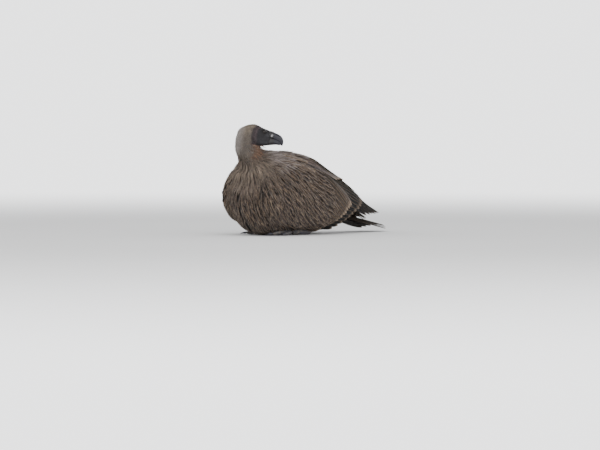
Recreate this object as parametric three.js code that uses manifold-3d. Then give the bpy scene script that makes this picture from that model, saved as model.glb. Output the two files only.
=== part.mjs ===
// White-backed vulture (Gyps africanus) at rest on its belly, head turned back over the left shoulder.
// Life size, in millimetres. +Z is up, the floor is z = 0, and the body faces -X, so its left side is -Y.
// Every sub-part is one closed solid that gives the outer shape of the plumage, out to the feather tips.
import * as THREE from "three";
import { mergeGeometries, mergeVertices } from "three/addons/utils/BufferGeometryUtils.js";
import Module from "manifold-3d";

const wasm = await Module();
wasm.setup();

// ---------------------------------------------------------------- driving dimensions
const GAP = 0.4; // clearance kept where two pieces meet
const CHEST_X = -262; // foremost point of the breast
const RUMP_X = 236; // where the trunk's plumage ends and the tail begins
const WINGTIP_X = 368; // tip of the longest primary
const TAIL_TIP_X = 408;
const TAIL_ROOT_Z = 62; // height of the tail where it leaves the rump
const TAIL_FEATHERS = 12;
const HEAD_ORIGIN = new THREE.Vector3(-178.1, -31.9, 327.9); // in the head's middle plane, just below the eyes
const HEAD_YAW = -45; // degrees, from +X towards -Y: the head looks back over the left shoulder
const HEAD_PITCH = 12; // degrees, bill down
const EYE_RADIUS = 9;
const EYE_PLACE = [3, 11.8, 8]; // centre of the left eye in the head's frame
const FOOT_SPREAD = 58; // half the distance between the feet
const ANKLE_X = -75; // where the toes start; the shank lies behind it
const SHANK_LENGTH = 92;

const vec = (x = 0, y = 0, z = 0) => new THREE.Vector3(x, y, z);
const rad = THREE.MathUtils.degToRad;

// ---------------------------------------------------------------- small tools
// Reads rows of [x, value, value...] as smooth curves: returns the values at x.
function smoothRows(rows) {
  const slope = rows.map((row, i) => {
    const before = rows[Math.max(i - 1, 0)];
    const after = rows[Math.min(i + 1, rows.length - 1)];
    return row.map((_, c) => (after[c] - before[c]) / (after[0] - before[0]));
  });
  return (x) => {
    let i = rows.findIndex((row) => row[0] > x) - 1;
    if (i < 0) i = x < rows[0][0] ? 0 : rows.length - 2;
    const span = rows[i + 1][0] - rows[i][0];
    const t = THREE.MathUtils.clamp((x - rows[i][0]) / span, 0, 1);
    const [t2, t3] = [t * t, t * t * t];
    return rows[i].slice(1).map((a, c) => {
      const b = rows[i + 1][c + 1];
      const bend = (t3 - 2 * t2 + t) * slope[i][c + 1] + (t3 - t2) * slope[i + 1][c + 1];
      return a * (2 * t3 - 3 * t2 + 1) + b * (3 * t2 - 2 * t3) + span * bend;
    });
  };
}

// A round end: 0 at the very end, 1 from `reach` inwards.
const roundEnd = (inwards, reach) =>
  inwards >= reach ? 1 : Math.sqrt(Math.max(0, 1 - (1 - inwards / reach) ** 2));

// A closed geometry from a globe grid: `place(along, angle)` says where each point of the grid goes.
function globe(place, around, along) {
  const geometry = new THREE.SphereGeometry(1, around, along);
  const { position, uv } = geometry.attributes;
  for (let i = 0; i < position.count; i++) {
    const p = place(1 - uv.getY(i), 2 * Math.PI * uv.getX(i));
    position.setXYZ(i, p.x, p.y, p.z);
  }
  return geometry;
}

// A closed geometry as a solid, turned so that its faces point out.
function solidOf(geometry) {
  const bare = geometry.clone();
  bare.deleteAttribute("normal");
  bare.deleteAttribute("uv");
  const merged = mergeVertices(bare, 1e-3);
  const faces = [];
  for (let i = 0; i < merged.index.count; i += 3) {
    const [a, b, c] = [0, 1, 2].map((k) => merged.index.getX(i + k));
    if (a !== b && b !== c && a !== c) faces.push(a, b, c);
  }
  const make = (triVerts) =>
    new wasm.Manifold(
      new wasm.Mesh({
        numProp: 3,
        vertProperties: Float32Array.from(merged.attributes.position.array),
        triVerts: Uint32Array.from(triVerts),
      }),
    );
  const solid = make(faces);
  return solid.volume() > 0 ? solid : make(faces.reverse());
}

function geometryOf(solid) {
  const mesh = solid.getMesh();
  return new THREE.BufferGeometry()
    .setAttribute("position", new THREE.BufferAttribute(Float32Array.from(mesh.vertProperties), 3))
    .setIndex(new THREE.BufferAttribute(Uint32Array.from(mesh.triVerts), 1));
}

// The same solid, a clearance larger all round.
function grown(solid, by) {
  const geometry = geometryOf(solid);
  geometry.computeVertexNormals();
  const { position, normal } = geometry.attributes;
  for (let i = 0; i < position.count; i++) {
    const p = vec().fromBufferAttribute(position, i);
    p.addScaledVector(vec().fromBufferAttribute(normal, i), by);
    position.setXYZ(i, p.x, p.y, p.z);
  }
  geometry.deleteAttribute("normal");
  return solidOf(geometry);
}

const largest = (solid) => solid.decompose().sort((a, b) => b.volume() - a.volume())[0];
const joined = (solids) => solids.reduce((a, b) => a.add(b));
const above = (solid, z) => solid.trimByPlane([0, 0, 1], z);

// What is left of a solid once its neighbours and their clearance are taken away.
const clearOf = (solid, neighbours) =>
  largest(neighbours.reduce((left, other) => left.subtract(grown(other, GAP)), solid));

// A body swept along a curve. `section(t)` gives [half width, half depth] at t along it.
function sweep(spine, section, around, along, sideways = vec(0, 1, 0)) {
  return solidOf(
    globe(
      (t, angle) => {
        const forward = spine.getTangent(t);
        const up = vec().crossVectors(forward, sideways).normalize();
        const side = vec().crossVectors(up, forward);
        const [width, depth] = section(t);
        return spine
          .getPoint(t)
          .addScaledVector(side, width * Math.cos(angle))
          .addScaledVector(up, depth * Math.sin(angle));
      },
      around,
      along,
    ),
  );
}

// A layer of feathers side by side: a thin closed sheet with one round tip for each feather. `lay(s, t, face)`
// gives the point at s across the layer and t along it; face runs from -1 underneath to 1 on top.
function makeFan(feathers, notch, lay) {
  const sheet = (face) => {
    const geometry = new THREE.PlaneGeometry(1, 1, 3 * feathers, 5);
    const { position, uv } = geometry.attributes;
    for (let i = 0; i < position.count; i++) {
      const [s, v] = [uv.getX(i), uv.getY(i)];
      const crown = Math.sin(Math.PI * ((s * feathers) % 1)) ** 0.6;
      const reach = 1 - notch * (1 - crown);
      const onEdge = Math.min(s, 1 - s, v, 1 - v) < 1e-6;
      const height = onEdge ? 0 : face * (0.55 + 0.45 * crown);
      const p = lay(s, v * reach, height);
      position.setXYZ(i, p.x, p.y, p.z);
    }
    if (face < 0) geometry.index.array.reverse();
    return geometry;
  };
  return solidOf(mergeGeometries([sheet(1), sheet(-1)]));
}

// ---------------------------------------------------------------- trunk
// The body that the folded wings lie on. Rows of x, half width, height of the middle, and half height.
const bodyAt = smoothRows([
  [CHEST_X, 74, 122, 60],
  [-236, 86, 124, 86],
  [-200, 103, 126, 112],
  [-140, 117, 128, 130],
  [-60, 125, 127, 131],
  [20, 123, 121, 123],
  [100, 107, 107, 100],
  [180, 84, 95, 77],
  [240, 64, 81, 54],
  [300, 46, 63, 36],
  [370, 30, 45, 20],
]);

// The trunk is that body, rounded at the breast and narrowing behind to the root of the tail.
function makeTrunk() {
  const place = (t, angle) => {
    const x = THREE.MathUtils.lerp(CHEST_X, RUMP_X + 30, (1 - Math.cos(Math.PI * t)) / 2);
    const [side, middle, height] = bodyAt(x);
    const breast = roundEnd(x - CHEST_X, 60);
    const rump = roundEnd(RUMP_X + 30 - x, 190);
    const up = THREE.MathUtils.lerp(TAIL_ROOT_Z, middle, rump);
    return vec(
      x,
      (side - 2) * breast * rump * Math.cos(angle),
      up + (height - 2) * breast * rump ** 1.3 * Math.sin(angle),
    );
  };
  return above(solidOf(globe(place, 18, 16)), 0).trimByPlane([-1, 0, 0], -RUMP_X);
}

// A point over the body. `rise` is the angle above the horizontal, and `out` the height over the surface.
function onBody(x, rise, out, left) {
  const [side, middle, height] = bodyAt(x);
  const angle = rad(rise);
  const normal = vec(0, Math.cos(angle) / side, Math.sin(angle) / height).normalize();
  const hand = left ? -1 : 1;
  return vec(
    x,
    hand * (side * Math.cos(angle) + normal.y * out),
    middle + height * Math.sin(angle) + normal.z * out,
  );
}

// ---------------------------------------------------------------- folded wings
// A pillow of feathers on the body. Rows give x, the lower and upper rise, and the height of the pillow's
// inner and outer face over the body. A margin makes it that much larger all round.
function makePillow(rows, ends, left, around, along, margin = 0) {
  const rowAt = smoothRows(rows);
  const [from, to] = [rows[0][0], rows[rows.length - 1][0]];
  const place = (t, angle) => {
    const x = THREE.MathUtils.lerp(from, to, (1 - Math.cos(Math.PI * t)) / 2);
    const [low, high, inner, outer] = rowAt(x);
    const round = roundEnd(x - from, ends[0]) * roundEnd(to - x, ends[1]);
    const across = Math.sign(Math.cos(angle)) * Math.abs(Math.cos(angle)) ** 0.8;
    const rise = (low + high) / 2 + ((high - low) / 2 + margin) * round * across;
    const lift = Math.max(0, Math.sin(angle)) * round * (outer - inner + margin);
    const sink = Math.min(0, Math.sin(angle)) * round * (1.5 + margin);
    return onBody(x, rise, inner + 2 + lift + sink, left);
  };
  return solidOf(globe(place, around, along));
}

// The arm with its coverts, thickest along the leading edge.
const makeWingArm = (left, margin) =>
  makePillow(
    [
      [-246, -28, 30, 1, 10],
      [-205, -40, 50, 1, 19],
      [-150, -45, 58, 2, 21],
      [-70, -48, 56, 11, 21],
      [0, -48, 49, 12, 20],
      [70, -42, 38, 12, 19],
      [130, -30, 20, 12, 17],
    ],
    [40, 80],
    left,
    16,
    14,
    margin,
  );

// The long feathers of the shoulder, which lie over the wing's upper edge.
const makeScapulars = (left) =>
  makePillow(
    [
      [-190, 50, 86, 1, 9],
      [-120, 48, 88, 2, 14],
      [-50, 48, 88, 9, 16],
      [30, 52, 88, 12, 17],
      [110, 60, 86, 12, 16],
    ],
    [60, 100],
    left,
    12,
    10,
  );

// Feathers on the body from the first to the last: each end is [x, rise] at the root and at the tip, and
// `out` is the height over the body at the root and at the tip.
function makeFlight({ feathers, first, last, out, thick = 2.2, notch = 0.14 }, left) {
  const mix = (a, b, s) => a.map((v, i) => THREE.MathUtils.lerp(v, b[i], s));
  return makeFan(feathers, notch, (s, t, face) => {
    const root = mix(first[0], last[0], s);
    const tip = mix(first[1], last[1], s);
    const [x, rise] = mix(root, tip, t);
    const thin = 1 - 0.45 * t;
    return onBody(x, rise, THREE.MathUtils.lerp(out[0], out[1], t) + face * thick * thin, left);
  });
}

// The three groups of flight feathers. Tertials lie along the back, secondaries along the flank, and the
// primaries come out from under both.
const makeTertials = (left) =>
  makeFlight(
    {
      feathers: 4,
      first: [
        [10, 89],
        [214, 88],
      ],
      last: [
        [10, 49],
        [256, 34],
      ],
      out: [7.4, 9.4],
    },
    left,
  );

const makeSecondaries = (left) =>
  makeFlight(
    {
      feathers: 6,
      first: [
        [14, 46],
        [252, 14],
      ],
      last: [
        [-30, -46],
        [120, -56],
      ],
      out: [7.4, 8.6],
    },
    left,
  );

const makePrimaries = (left) =>
  makeFlight(
    {
      feathers: 4,
      first: [
        [20, 62],
        [WINGTIP_X + 10, 52],
      ],
      last: [
        [20, 30],
        [282, -16],
      ],
      out: [2, 3],
      thick: 1.6,
      notch: 0.13,
    },
    left,
  );

// ---------------------------------------------------------------- tail
// Twelve feathers in a shallow roof; the outer ones are shorter. The tips lie just clear of the floor.
function makeTail() {
  const root = RUMP_X - 40;
  const tail = makeFan(TAIL_FEATHERS, 0.08, (s, t, face) => {
    const across = 2 * s - 1;
    const reach = TAIL_TIP_X - 34 * Math.abs(across) ** 2.2;
    const x = THREE.MathUtils.lerp(root, reach, t);
    const halfWidth = THREE.MathUtils.lerp(26, 66, t ** 0.8);
    const drop = THREE.MathUtils.lerp(8, 9, t) * across ** 2;
    const z = THREE.MathUtils.lerp(TAIL_ROOT_Z, 20, t ** 1.15) - drop;
    return vec(x, halfWidth * across, z + face * THREE.MathUtils.lerp(7, 2.4, t));
  });
  return tail.trimByPlane([1, 0, 0], RUMP_X + GAP);
}

// ---------------------------------------------------------------- neck and ruff
const neckSpine = new THREE.CatmullRomCurve3([
  vec(-136, 0, 168),
  vec(-168, 4, 212),
  vec(-194, 8, 252),
  vec(-212, 11, 288),
  vec(-214, 6, 321),
  vec(-192, -15, 330),
]);
const neckRadiusAt = smoothRows([
  [0, 56],
  [0.25, 51],
  [0.45, 43],
  [0.6, 38.5],
  [0.8, 34],
  [1, 25],
]);
const NECK_PARTING_Z = 266; // where the lower and the upper neck meet

function makeNeck(margin = 0) {
  const section = (t) => {
    const r = (neckRadiusAt(t)[0] + margin) * roundEnd(t, 0.12) * roundEnd(1 - t, 0.08);
    return [r * 1.06, r];
  };
  return sweep(neckSpine, section, 16, 12, vec(1, 1, 0).normalize());
}

// The collar of long feathers round the foot of the neck: a flared ring, tilted as the neck is.
const RUFF_MIDDLE = vec(-176, 3, 217);
const RUFF_TILT = -38; // degrees, leaning forward
const RUFF_OUTLINE = [
  [36, 30],
  [62, 27],
  [84, 8],
  [101, -26],
  [97, -38],
  [72, -30],
  [36, -12],
];

function makeRuff() {
  const outline = [...RUFF_OUTLINE, RUFF_OUTLINE[0]].map(([r, h]) => new THREE.Vector2(r, h));
  const ring = new THREE.LatheGeometry(outline, 18);
  ring.rotateX(Math.PI / 2);
  ring.rotateY(rad(RUFF_TILT));
  ring.translate(...RUFF_MIDDLE.toArray());
  return solidOf(ring);
}

// ---------------------------------------------------------------- head
// In the head's own frame: +X towards the bill, +Y to the bird's left, +Z up, from HEAD_ORIGIN.
// Rows of x, half width, top and bottom.
const headAt = smoothRows([
  [-84, 11, 6, -26],
  [-76, 16.5, 12, -29],
  [-68, 19, 15, -30],
  [-56, 21.5, 21.5, -32],
  [-40, 24.5, 25.4, -37.5],
  [-22, 26, 23.8, -41.5],
  [-3, 23.6, 19.4, -40.6],
  [14, 18.5, 16.2, -35.5],
  [26, 14.5, 13.8, -31.5],
]);

function makeHead() {
  const [from, to] = [-86, 27];
  const place = (t, angle) => {
    const x = THREE.MathUtils.lerp(from, to, (1 - Math.cos(Math.PI * t)) / 2);
    const [side, top, bottom] = headAt(x);
    const round = roundEnd(x - from, 22) * roundEnd(to - x, 5);
    return vec(
      x,
      side * round * Math.cos(angle),
      (top + bottom) / 2 + ((top - bottom) / 2) * round * Math.sin(angle),
    );
  };
  return solidOf(globe(place, 16, 13));
}

// A mandible between two lines in the middle plane. Rows run from its root to its tip: x and height of the
// upper line, x and height of the lower line, and half the width.
function makeMandible(rows, around, along) {
  const last = rows.length - 1;
  const at = smoothRows(rows.map((row, i) => [i / last, ...row]));
  const place = (t, angle) => {
    const [topX, topZ, lowX, lowZ, width] = at(t);
    const round = roundEnd(t, 0.06) * roundEnd(1 - t, 0.1);
    const s = Math.sin(angle) * round;
    return vec(
      (topX + lowX) / 2 + ((topX - lowX) / 2) * s,
      width * round * Math.cos(angle),
      (topZ + lowZ) / 2 + ((topZ - lowZ) / 2) * s,
    );
  };
  return solidOf(globe(place, around, along));
}

const makeUpperBill = () =>
  makeMandible(
    [
      [18, 15, 17, -6, 14.5],
      [30, 13.9, 30, -8, 13.5],
      [43, 11.6, 42, -9.5, 12],
      [54, 8.4, 52, -12, 10],
      [62.5, 3, 57, -15, 8],
      [68.5, -4.5, 60, -18.5, 6],
      [70.8, -13, 62, -22.5, 4.2],
      [69.6, -23.4, 65, -25, 2.4],
    ],
    12,
    12,
  );

const makeLowerBill = () =>
  makeMandible(
    [
      [8, -8, 9, -36, 14],
      [22, -7, 23, -33, 13],
      [36, -9, 36, -29, 11],
      [50, -11.5, 49, -25.4, 8.4],
      [60, -16.5, 58.5, -22.5, 4.5],
    ],
    10,
    8,
  );

function makeEye(hand) {
  const [forward, out, up] = EYE_PLACE;
  return solidOf(new THREE.SphereGeometry(EYE_RADIUS, 10, 7).translate(forward, out * hand, up));
}

const headMatrix = new THREE.Matrix4().compose(
  HEAD_ORIGIN,
  new THREE.Quaternion().setFromEuler(new THREE.Euler(0, rad(HEAD_PITCH), rad(HEAD_YAW), "ZYX")),
  vec(1, 1, 1),
);
const onNeck = (solid) => solid.transform(headMatrix.elements);

// ---------------------------------------------------------------- legs
// Each toe: yaw from straight ahead (outwards is positive), length, thickness, and claw length.
const TOES = [
  { name: "inner", yaw: -24, length: 62, radius: 8, claw: 24 },
  { name: "middle", yaw: 2, length: 92, radius: 8.5, claw: 24 },
  { name: "outer", yaw: 26, length: 66, radius: 7.5, claw: 20 },
  { name: "hind", yaw: 158, length: 34, radius: 7.5, claw: 22 },
];

function toeSpine(toe, hand, from, to) {
  const away = rad(toe.yaw);
  const at = (d, z) => vec(ANKLE_X - Math.cos(away) * d, hand * (FOOT_SPREAD + Math.sin(away) * d), z);
  const rise = toe.radius;
  return new THREE.QuadraticBezierCurve3(
    at(from, rise * (from > 0 ? 0.75 : 1.3)),
    at((from + to) / 2, rise * (from > 0 ? 1.15 : 1.2)),
    at(to, rise * (from > 0 ? 0.42 : 0.75)),
  );
}

function makeFoot(hand) {
  const toes = TOES.map((toe) =>
    sweep(
      toeSpine(toe, hand, 0, toe.length),
      (t) => {
        const knuckles = 1 + 0.1 * Math.cos(6 * Math.PI * t);
        const r = toe.radius * (1.05 - 0.28 * t) * knuckles * roundEnd(t, 0.1) * roundEnd(1 - t, 0.12);
        return [r, r * 0.92];
      },
      8,
      6,
    ),
  );
  return above(joined(toes), 0);
}

function makeClaw(toe, hand) {
  const spine = toeSpine(toe, hand, toe.length - 5, toe.length + toe.claw);
  const section = (t) => {
    const r = 4.6 * (1 - 0.8 * t) * roundEnd(t, 0.1) * roundEnd(1 - t, 0.08);
    return [r * 0.85, r];
  };
  return above(sweep(spine, section, 6, 6), 0);
}

function makeShank(hand) {
  const y = hand * FOOT_SPREAD;
  const spine = new THREE.CatmullRomCurve3([
    vec(ANKLE_X + 2, y, 10),
    vec(ANKLE_X + SHANK_LENGTH * 0.5, y, 11),
    vec(ANKLE_X + SHANK_LENGTH, y + hand * 3, 13),
  ]);
  const section = (t) => {
    const r = (10 + 4 * Math.abs(2 * t - 1) ** 2) * roundEnd(t, 0.1) * roundEnd(1 - t, 0.12);
    return [r * 0.95, r];
  };
  return above(sweep(spine, section, 10, 7), 0);
}

// The hollow under the belly that a folded leg lies in.
function legRoom(hand) {
  const y = hand * (FOOT_SPREAD + 3);
  const spine = new THREE.LineCurve3(vec(-216, y, 0), vec(46, y, 0));
  const section = (t) => {
    const r = roundEnd(t, 0.2) * roundEnd(1 - t, 0.16);
    return [(48 - 26 * t) * r, 30 * r];
  };
  return sweep(spine, section, 10, 6);
}

// ---------------------------------------------------------------- put together
const colours = {
  plumage: 0x7d6a57,
  down: 0xb7a994,
  ruff: 0x9a8268,
  flight: 0x2e2723,
  tertial: 0x7a6e66,
  skin: 0x3d3c40,
  horn: 0x26262b,
  eye: 0x1d1310,
  foot: 0x45434a,
};

const vulture = new THREE.Group();
function addNode(name, solid, colour, roughness = 0.85) {
  const material = new THREE.MeshStandardMaterial({ color: colour, roughness, metalness: 0 });
  const mesh = new THREE.Mesh(geometryOf(solid), material);
  mesh.name = name;
  vulture.add(mesh);
}

// The head's hard pieces come first, then what is cut to fit round them, working down the neck.
const upperBill = makeUpperBill();
const lowerBill = clearOf(makeLowerBill(), [upperBill]);
const eyes = [makeEye(1), makeEye(-1)];
const head = onNeck(clearOf(makeHead(), [upperBill, lowerBill, ...eyes]));
addNode("bill_upper", onNeck(upperBill), colours.horn, 0.4);
addNode("bill_lower", onNeck(lowerBill), colours.horn, 0.4);
addNode("eye_left", onNeck(eyes[0]), colours.eye, 0.1);
addNode("eye_right", onNeck(eyes[1]), colours.eye, 0.1);
addNode("head", head, colours.skin, 0.7);

const hardHead = [onNeck(upperBill), onNeck(lowerBill), onNeck(eyes[0]), onNeck(eyes[1]), head];
const neck = clearOf(makeNeck(), hardHead);
const neckUpper = largest(neck.trimByPlane([0, 0, 1], NECK_PARTING_Z + GAP / 2));
const neckLower = largest(neck.trimByPlane([0, 0, -1], -(NECK_PARTING_Z - GAP / 2)));
const neckRoom = makeNeck(1);
const ruff = largest(makeRuff().subtract(neckRoom));
addNode("neck_upper", neckUpper, colours.down);
addNode("neck_lower", neckLower, colours.down);
addNode("ruff", ruff, colours.ruff);

// Wings, cut to fit round the ruff.
for (const [side, left] of [
  ["left", true],
  ["right", false],
]) {
  const arm = clearOf(makeWingArm(left), [ruff]);
  const scapulars = clearOf(makeScapulars(left).subtract(makeWingArm(left, 1)), [ruff]);
  const tertials = makeTertials(left);
  const secondaries = makeSecondaries(left);
  const primaries = makePrimaries(left);
  addNode(`wing_${side}`, arm, colours.plumage);
  addNode(`scapulars_${side}`, scapulars, colours.tertial);
  addNode(`tertials_${side}`, tertials, colours.tertial);
  addNode(`secondaries_${side}`, secondaries, colours.flight);
  addNode(`primaries_${side}`, primaries, colours.flight);
}

const tail = makeTail();
addNode("tail", tail, colours.flight);

for (const [side, hand] of [
  ["left", -1],
  ["right", 1],
]) {
  const claws = TOES.map((toe) => makeClaw(toe, hand));
  const foot = clearOf(makeFoot(hand), claws);
  const shank = clearOf(makeShank(hand), [foot, ...claws]);
  TOES.forEach((toe, i) => addNode(`claw_${toe.name}_${side}`, claws[i], colours.horn, 0.45));
  addNode(`foot_${side}`, foot, colours.foot, 0.7);
  addNode(`shank_${side}`, shank, colours.foot, 0.7);
}

const trunk = clearOf(
  [neckRoom, legRoom(-1), legRoom(1)].reduce((rest, room) => rest.subtract(room), makeTrunk()),
  [ruff],
);
addNode("trunk", trunk, colours.plumage);

// The origin is the middle of the bounding box's foot.
const box = new THREE.Box3().setFromObject(vulture);
vulture.position.set(-(box.min.x + box.max.x) / 2, -(box.min.y + box.max.y) / 2, -box.min.z);

export default vulture;
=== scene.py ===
"""A white-backed vulture at rest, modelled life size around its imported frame.

The bird lies on its belly with its wings folded and looks back over its left shoulder. One skin carries the
head, neck and body; every feather over it is a closed vane of its own, joined into coat pieces by tract.
"""

import copy
import logging
import math
from dataclasses import dataclass, field
from enum import Enum
from typing import Callable, Sequence, Union

import bpy
import numpy as np
from mathutils import Matrix, Vector
from mathutils.bvhtree import BVHTree


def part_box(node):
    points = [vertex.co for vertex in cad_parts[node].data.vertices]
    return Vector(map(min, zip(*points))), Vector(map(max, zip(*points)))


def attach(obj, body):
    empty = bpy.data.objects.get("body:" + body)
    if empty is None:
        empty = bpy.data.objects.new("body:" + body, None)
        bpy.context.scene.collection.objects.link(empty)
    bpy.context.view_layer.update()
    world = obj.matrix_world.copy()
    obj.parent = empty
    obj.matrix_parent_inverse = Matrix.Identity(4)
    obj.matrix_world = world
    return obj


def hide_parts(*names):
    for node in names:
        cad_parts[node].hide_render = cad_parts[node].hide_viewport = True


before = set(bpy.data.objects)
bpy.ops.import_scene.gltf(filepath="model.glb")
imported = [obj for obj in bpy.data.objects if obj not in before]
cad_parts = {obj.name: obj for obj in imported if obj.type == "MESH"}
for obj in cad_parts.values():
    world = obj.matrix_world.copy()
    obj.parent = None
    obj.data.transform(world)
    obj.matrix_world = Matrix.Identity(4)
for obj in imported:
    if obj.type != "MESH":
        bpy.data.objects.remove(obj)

Array = np.ndarray
Colour = tuple[float, float, float]
Rows2D = Sequence[Sequence[float]]
Flow = Callable[[Array], Array]
Rule = Callable[[Array, Array], Array]
Piece = bpy.types.Object
Mesh = bpy.types.Mesh
Material = bpy.types.Material
Socket = bpy.types.NodeSocket
Value = Union[Socket, float]
Tint = Union[Socket, Colour]

LOG = logging.getLogger("vulture")
MM = 0.001
BREAST_X = -262.0  # foremost point of the breast in the bird's own millimetres
RUMP_X = 236.0  # where the trunk ends and the tail begins
PATCH = 0.003  # side of a tuft's patch on the skin's unwrap
FLOOR_CLEARANCE = 0.25  # lowest height of any feather, in millimetres
COAT_TONE = 0.38  # how dark feathers are against the colours named below
RUFF_MIDDLE = np.array([-176.0, 3.0, 217.0])  # the middle of the collar's ring


class Side(Enum):
    """The bird's own sides; the value is the sign of y."""

    LEFT = -1
    RIGHT = 1

    @property
    def label(self) -> str:
        """The side's name as the frame's nodes end with."""
        return self.name.lower()


# ---- small tools
def srgb(red: float, green: float, blue: float) -> Colour:
    """Turns a colour as seen on a screen, 0 to 255, into linear light.

    Args:
        red: The red part.
        green: The green part.
        blue: The blue part.

    Returns:
        The three linear parts, 0 to 1.
    """
    parts = np.array([red, green, blue]) / 255.0
    linear = np.where(parts <= 0.04045, parts / 12.92, ((parts + 0.055) / 1.055) ** 2.4)
    return tuple(float(part) for part in linear)


def unit(vectors: Array) -> Array:
    """Vectors at length one."""
    return vectors / np.maximum(np.linalg.norm(vectors, axis=-1, keepdims=True), 1e-9)


def ease(low: float, high: float, value: Array) -> Array:
    """A soft step from 0 at low to 1 at high."""
    t = np.clip((np.asarray(value, float) - low) / (high - low), 0.0, 1.0)
    return t * t * (3.0 - 2.0 * t)


def bump(value: Array, centre: float, reach: float) -> Array:
    """A bell curve round a centre."""
    return np.exp(-(((np.asarray(value, float) - centre) / reach) ** 2))


def mix(a: Array, b: Array, share: Array) -> Array:
    """A blend of two values."""
    return a + (b - a) * share


def painted(under: Array, colour: Colour, share: Array) -> Array:
    """Colours with another one laid over them."""
    return mix(under, np.array(colour), share[:, None])


class Rows:
    """Sizes given in rows along a line, read as smooth curves."""

    def __init__(self, rows: Rows2D) -> None:
        """Keeps the rows and works out their slopes.

        Args:
            rows: Each row is the place on the line, then the sizes there.
        """
        self.table = np.array(rows, float)
        last = len(rows) - 1
        self.slope = np.zeros_like(self.table)
        for i in range(last + 1):
            before, after = self.table[max(i - 1, 0)], self.table[min(i + 1, last)]
            self.slope[i] = (after - before) / (after[0] - before[0])

    def at(self, place: Array) -> list[Array]:
        """Reads the sizes.

        Args:
            place: Where on the line.

        Returns:
            One array for each size.
        """
        table = self.table
        x = np.clip(np.asarray(place, float), table[0, 0], table[-1, 0])
        i = np.clip(np.searchsorted(table[:, 0], x, side="right") - 1, 0, len(table) - 2)
        span = table[i + 1, 0] - table[i, 0]
        t = (x - table[i, 0]) / span
        t2, t3 = t * t, t * t * t
        out = []
        for sizes, slopes in zip(table.T[1:], self.slope.T[1:]):
            bend = (t3 - 2 * t2 + t) * slopes[i] + (t3 - t2) * slopes[i + 1]
            out.append(sizes[i] * (2 * t3 - 3 * t2 + 1) + sizes[i + 1] * (3 * t2 - 2 * t3) + span * bend)
        return out


def round_end(inwards: Array, reach: float) -> Array:
    """0 at the very end and 1 from `reach` inwards, along a quarter circle."""
    short = np.clip(1 - np.asarray(inwards, float) / reach, 0.0, 1.0)
    return np.sqrt(1 - short * short)


class BirdSpace:
    """The bird's own millimetres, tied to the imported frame, and the head's frame within them."""

    def __init__(self) -> None:
        """Reads the breast and the eyes from the frame; the floor is taken at height nought."""
        self.origin = np.array([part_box("trunk")[0].x - BREAST_X * MM, 0.0, 0.0])
        left = self.middle("eye_left")
        right = self.middle("eye_right")
        sideways = unit(left - right)
        ahead = np.cross(sideways, [0.0, 0.0, 1.0])
        pitch = math.radians(HeadShape.pitch)
        forward = ahead * math.cos(pitch) + np.array([0.0, 0.0, -math.sin(pitch)])
        self.head_axes = np.stack([forward, sideways, np.cross(forward, sideways)])
        eye_x, _, eye_z = HeadShape.eye
        self.head_origin = (left + right) / 2 - forward * eye_x - self.head_axes[2] * eye_z

    def middle(self, node: str) -> Array:
        """The middle of a frame node, in the bird's millimetres."""
        low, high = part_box(node)
        return self.to_mm(np.array([(low + high) / 2]))[0]

    def to_metres(self, points: Array) -> Array:
        """The bird's millimetres as places in the frame."""
        return points * MM + self.origin

    def to_mm(self, points: Array) -> Array:
        """Places in the frame as the bird's millimetres."""
        return (points - self.origin) / MM

    def from_head(self, points: Array) -> Array:
        """Points of the head's frame in the bird's millimetres."""
        return points @ self.head_axes + self.head_origin

    def to_head(self, points: Array) -> Array:
        """Points of the bird in the head's frame."""
        return (points - self.head_origin) @ self.head_axes.T

    def head_to_metres(self, points: Array) -> Array:
        """Points of the head's frame as places in the frame."""
        return self.to_metres(self.from_head(points))

    def head_points(self, mesh: Mesh) -> Array:
        """A mesh's points in the head's frame."""
        return self.to_head(self.to_mm(points_of(mesh)))


# ---- meshes
def clear_selection() -> None:
    """Leaves nothing selected."""
    if bpy.context.object and bpy.context.object.mode != "OBJECT":
        bpy.ops.object.mode_set(mode="OBJECT")
    bpy.ops.object.select_all(action="DESELECT")


def choose(*pieces: Piece) -> None:
    """Selects these pieces alone; the last one is active."""
    clear_selection()
    for piece in pieces:
        piece.select_set(True)
    bpy.context.view_layer.objects.active = pieces[-1]


def read(items: bpy.types.bpy_prop_collection, name: str, width: int = 3, whole: bool = False) -> Array:
    """Reads one property of all items of a mesh.

    Args:
        items: The mesh's points, faces or corners.
        name: The property.
        width: How many numbers it has.
        whole: Whether they are whole numbers.

    Returns:
        A row for each item.
    """
    flat = np.zeros(len(items) * width, np.int32 if whole else np.float32)
    items.foreach_get(name, flat)
    return flat.reshape(-1, width) if whole else flat.reshape(-1, width).astype(float)


def points_of(mesh: Mesh) -> Array:
    """All points of a mesh."""
    return read(mesh.vertices, "co")


def normals_of(mesh: Mesh) -> Array:
    """The smooth normals at the points of a mesh."""
    return read(mesh.vertex_normals, "vector")


def set_points(mesh: Mesh, points: Array) -> None:
    """Moves all points of a mesh."""
    mesh.vertices.foreach_set("co", points.astype(np.float32).ravel())
    mesh.update()


def apply_modifier(piece: Piece, kind: str, **settings: float | int | str | bool) -> None:
    """Adds a modifier and applies it.

    Args:
        piece: The object it works on.
        kind: The modifier's type.
        settings: Its settings by name.
    """
    choose(piece)
    modifier = piece.modifiers.new(kind.lower(), kind)
    for name, value in settings.items():
        setattr(modifier, name, value)
    bpy.ops.object.modifier_apply(modifier=modifier.name)


def melt(piece: Piece, voxel: float, smoothing: int) -> None:
    """Makes a piece one closed surface of faces so many millimetres long, and smooths it so many times."""
    apply_modifier(piece, "REMESH", mode="VOXEL", voxel_size=voxel * MM, use_smooth_shade=True)
    apply_modifier(piece, "SMOOTH", factor=0.5, iterations=smoothing)


def swell(piece: Piece, reach: float) -> None:
    """Moves a piece's face outwards, in millimetres."""
    set_points(piece.data, points_of(piece.data) + normals_of(piece.data) * reach * MM)


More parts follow.
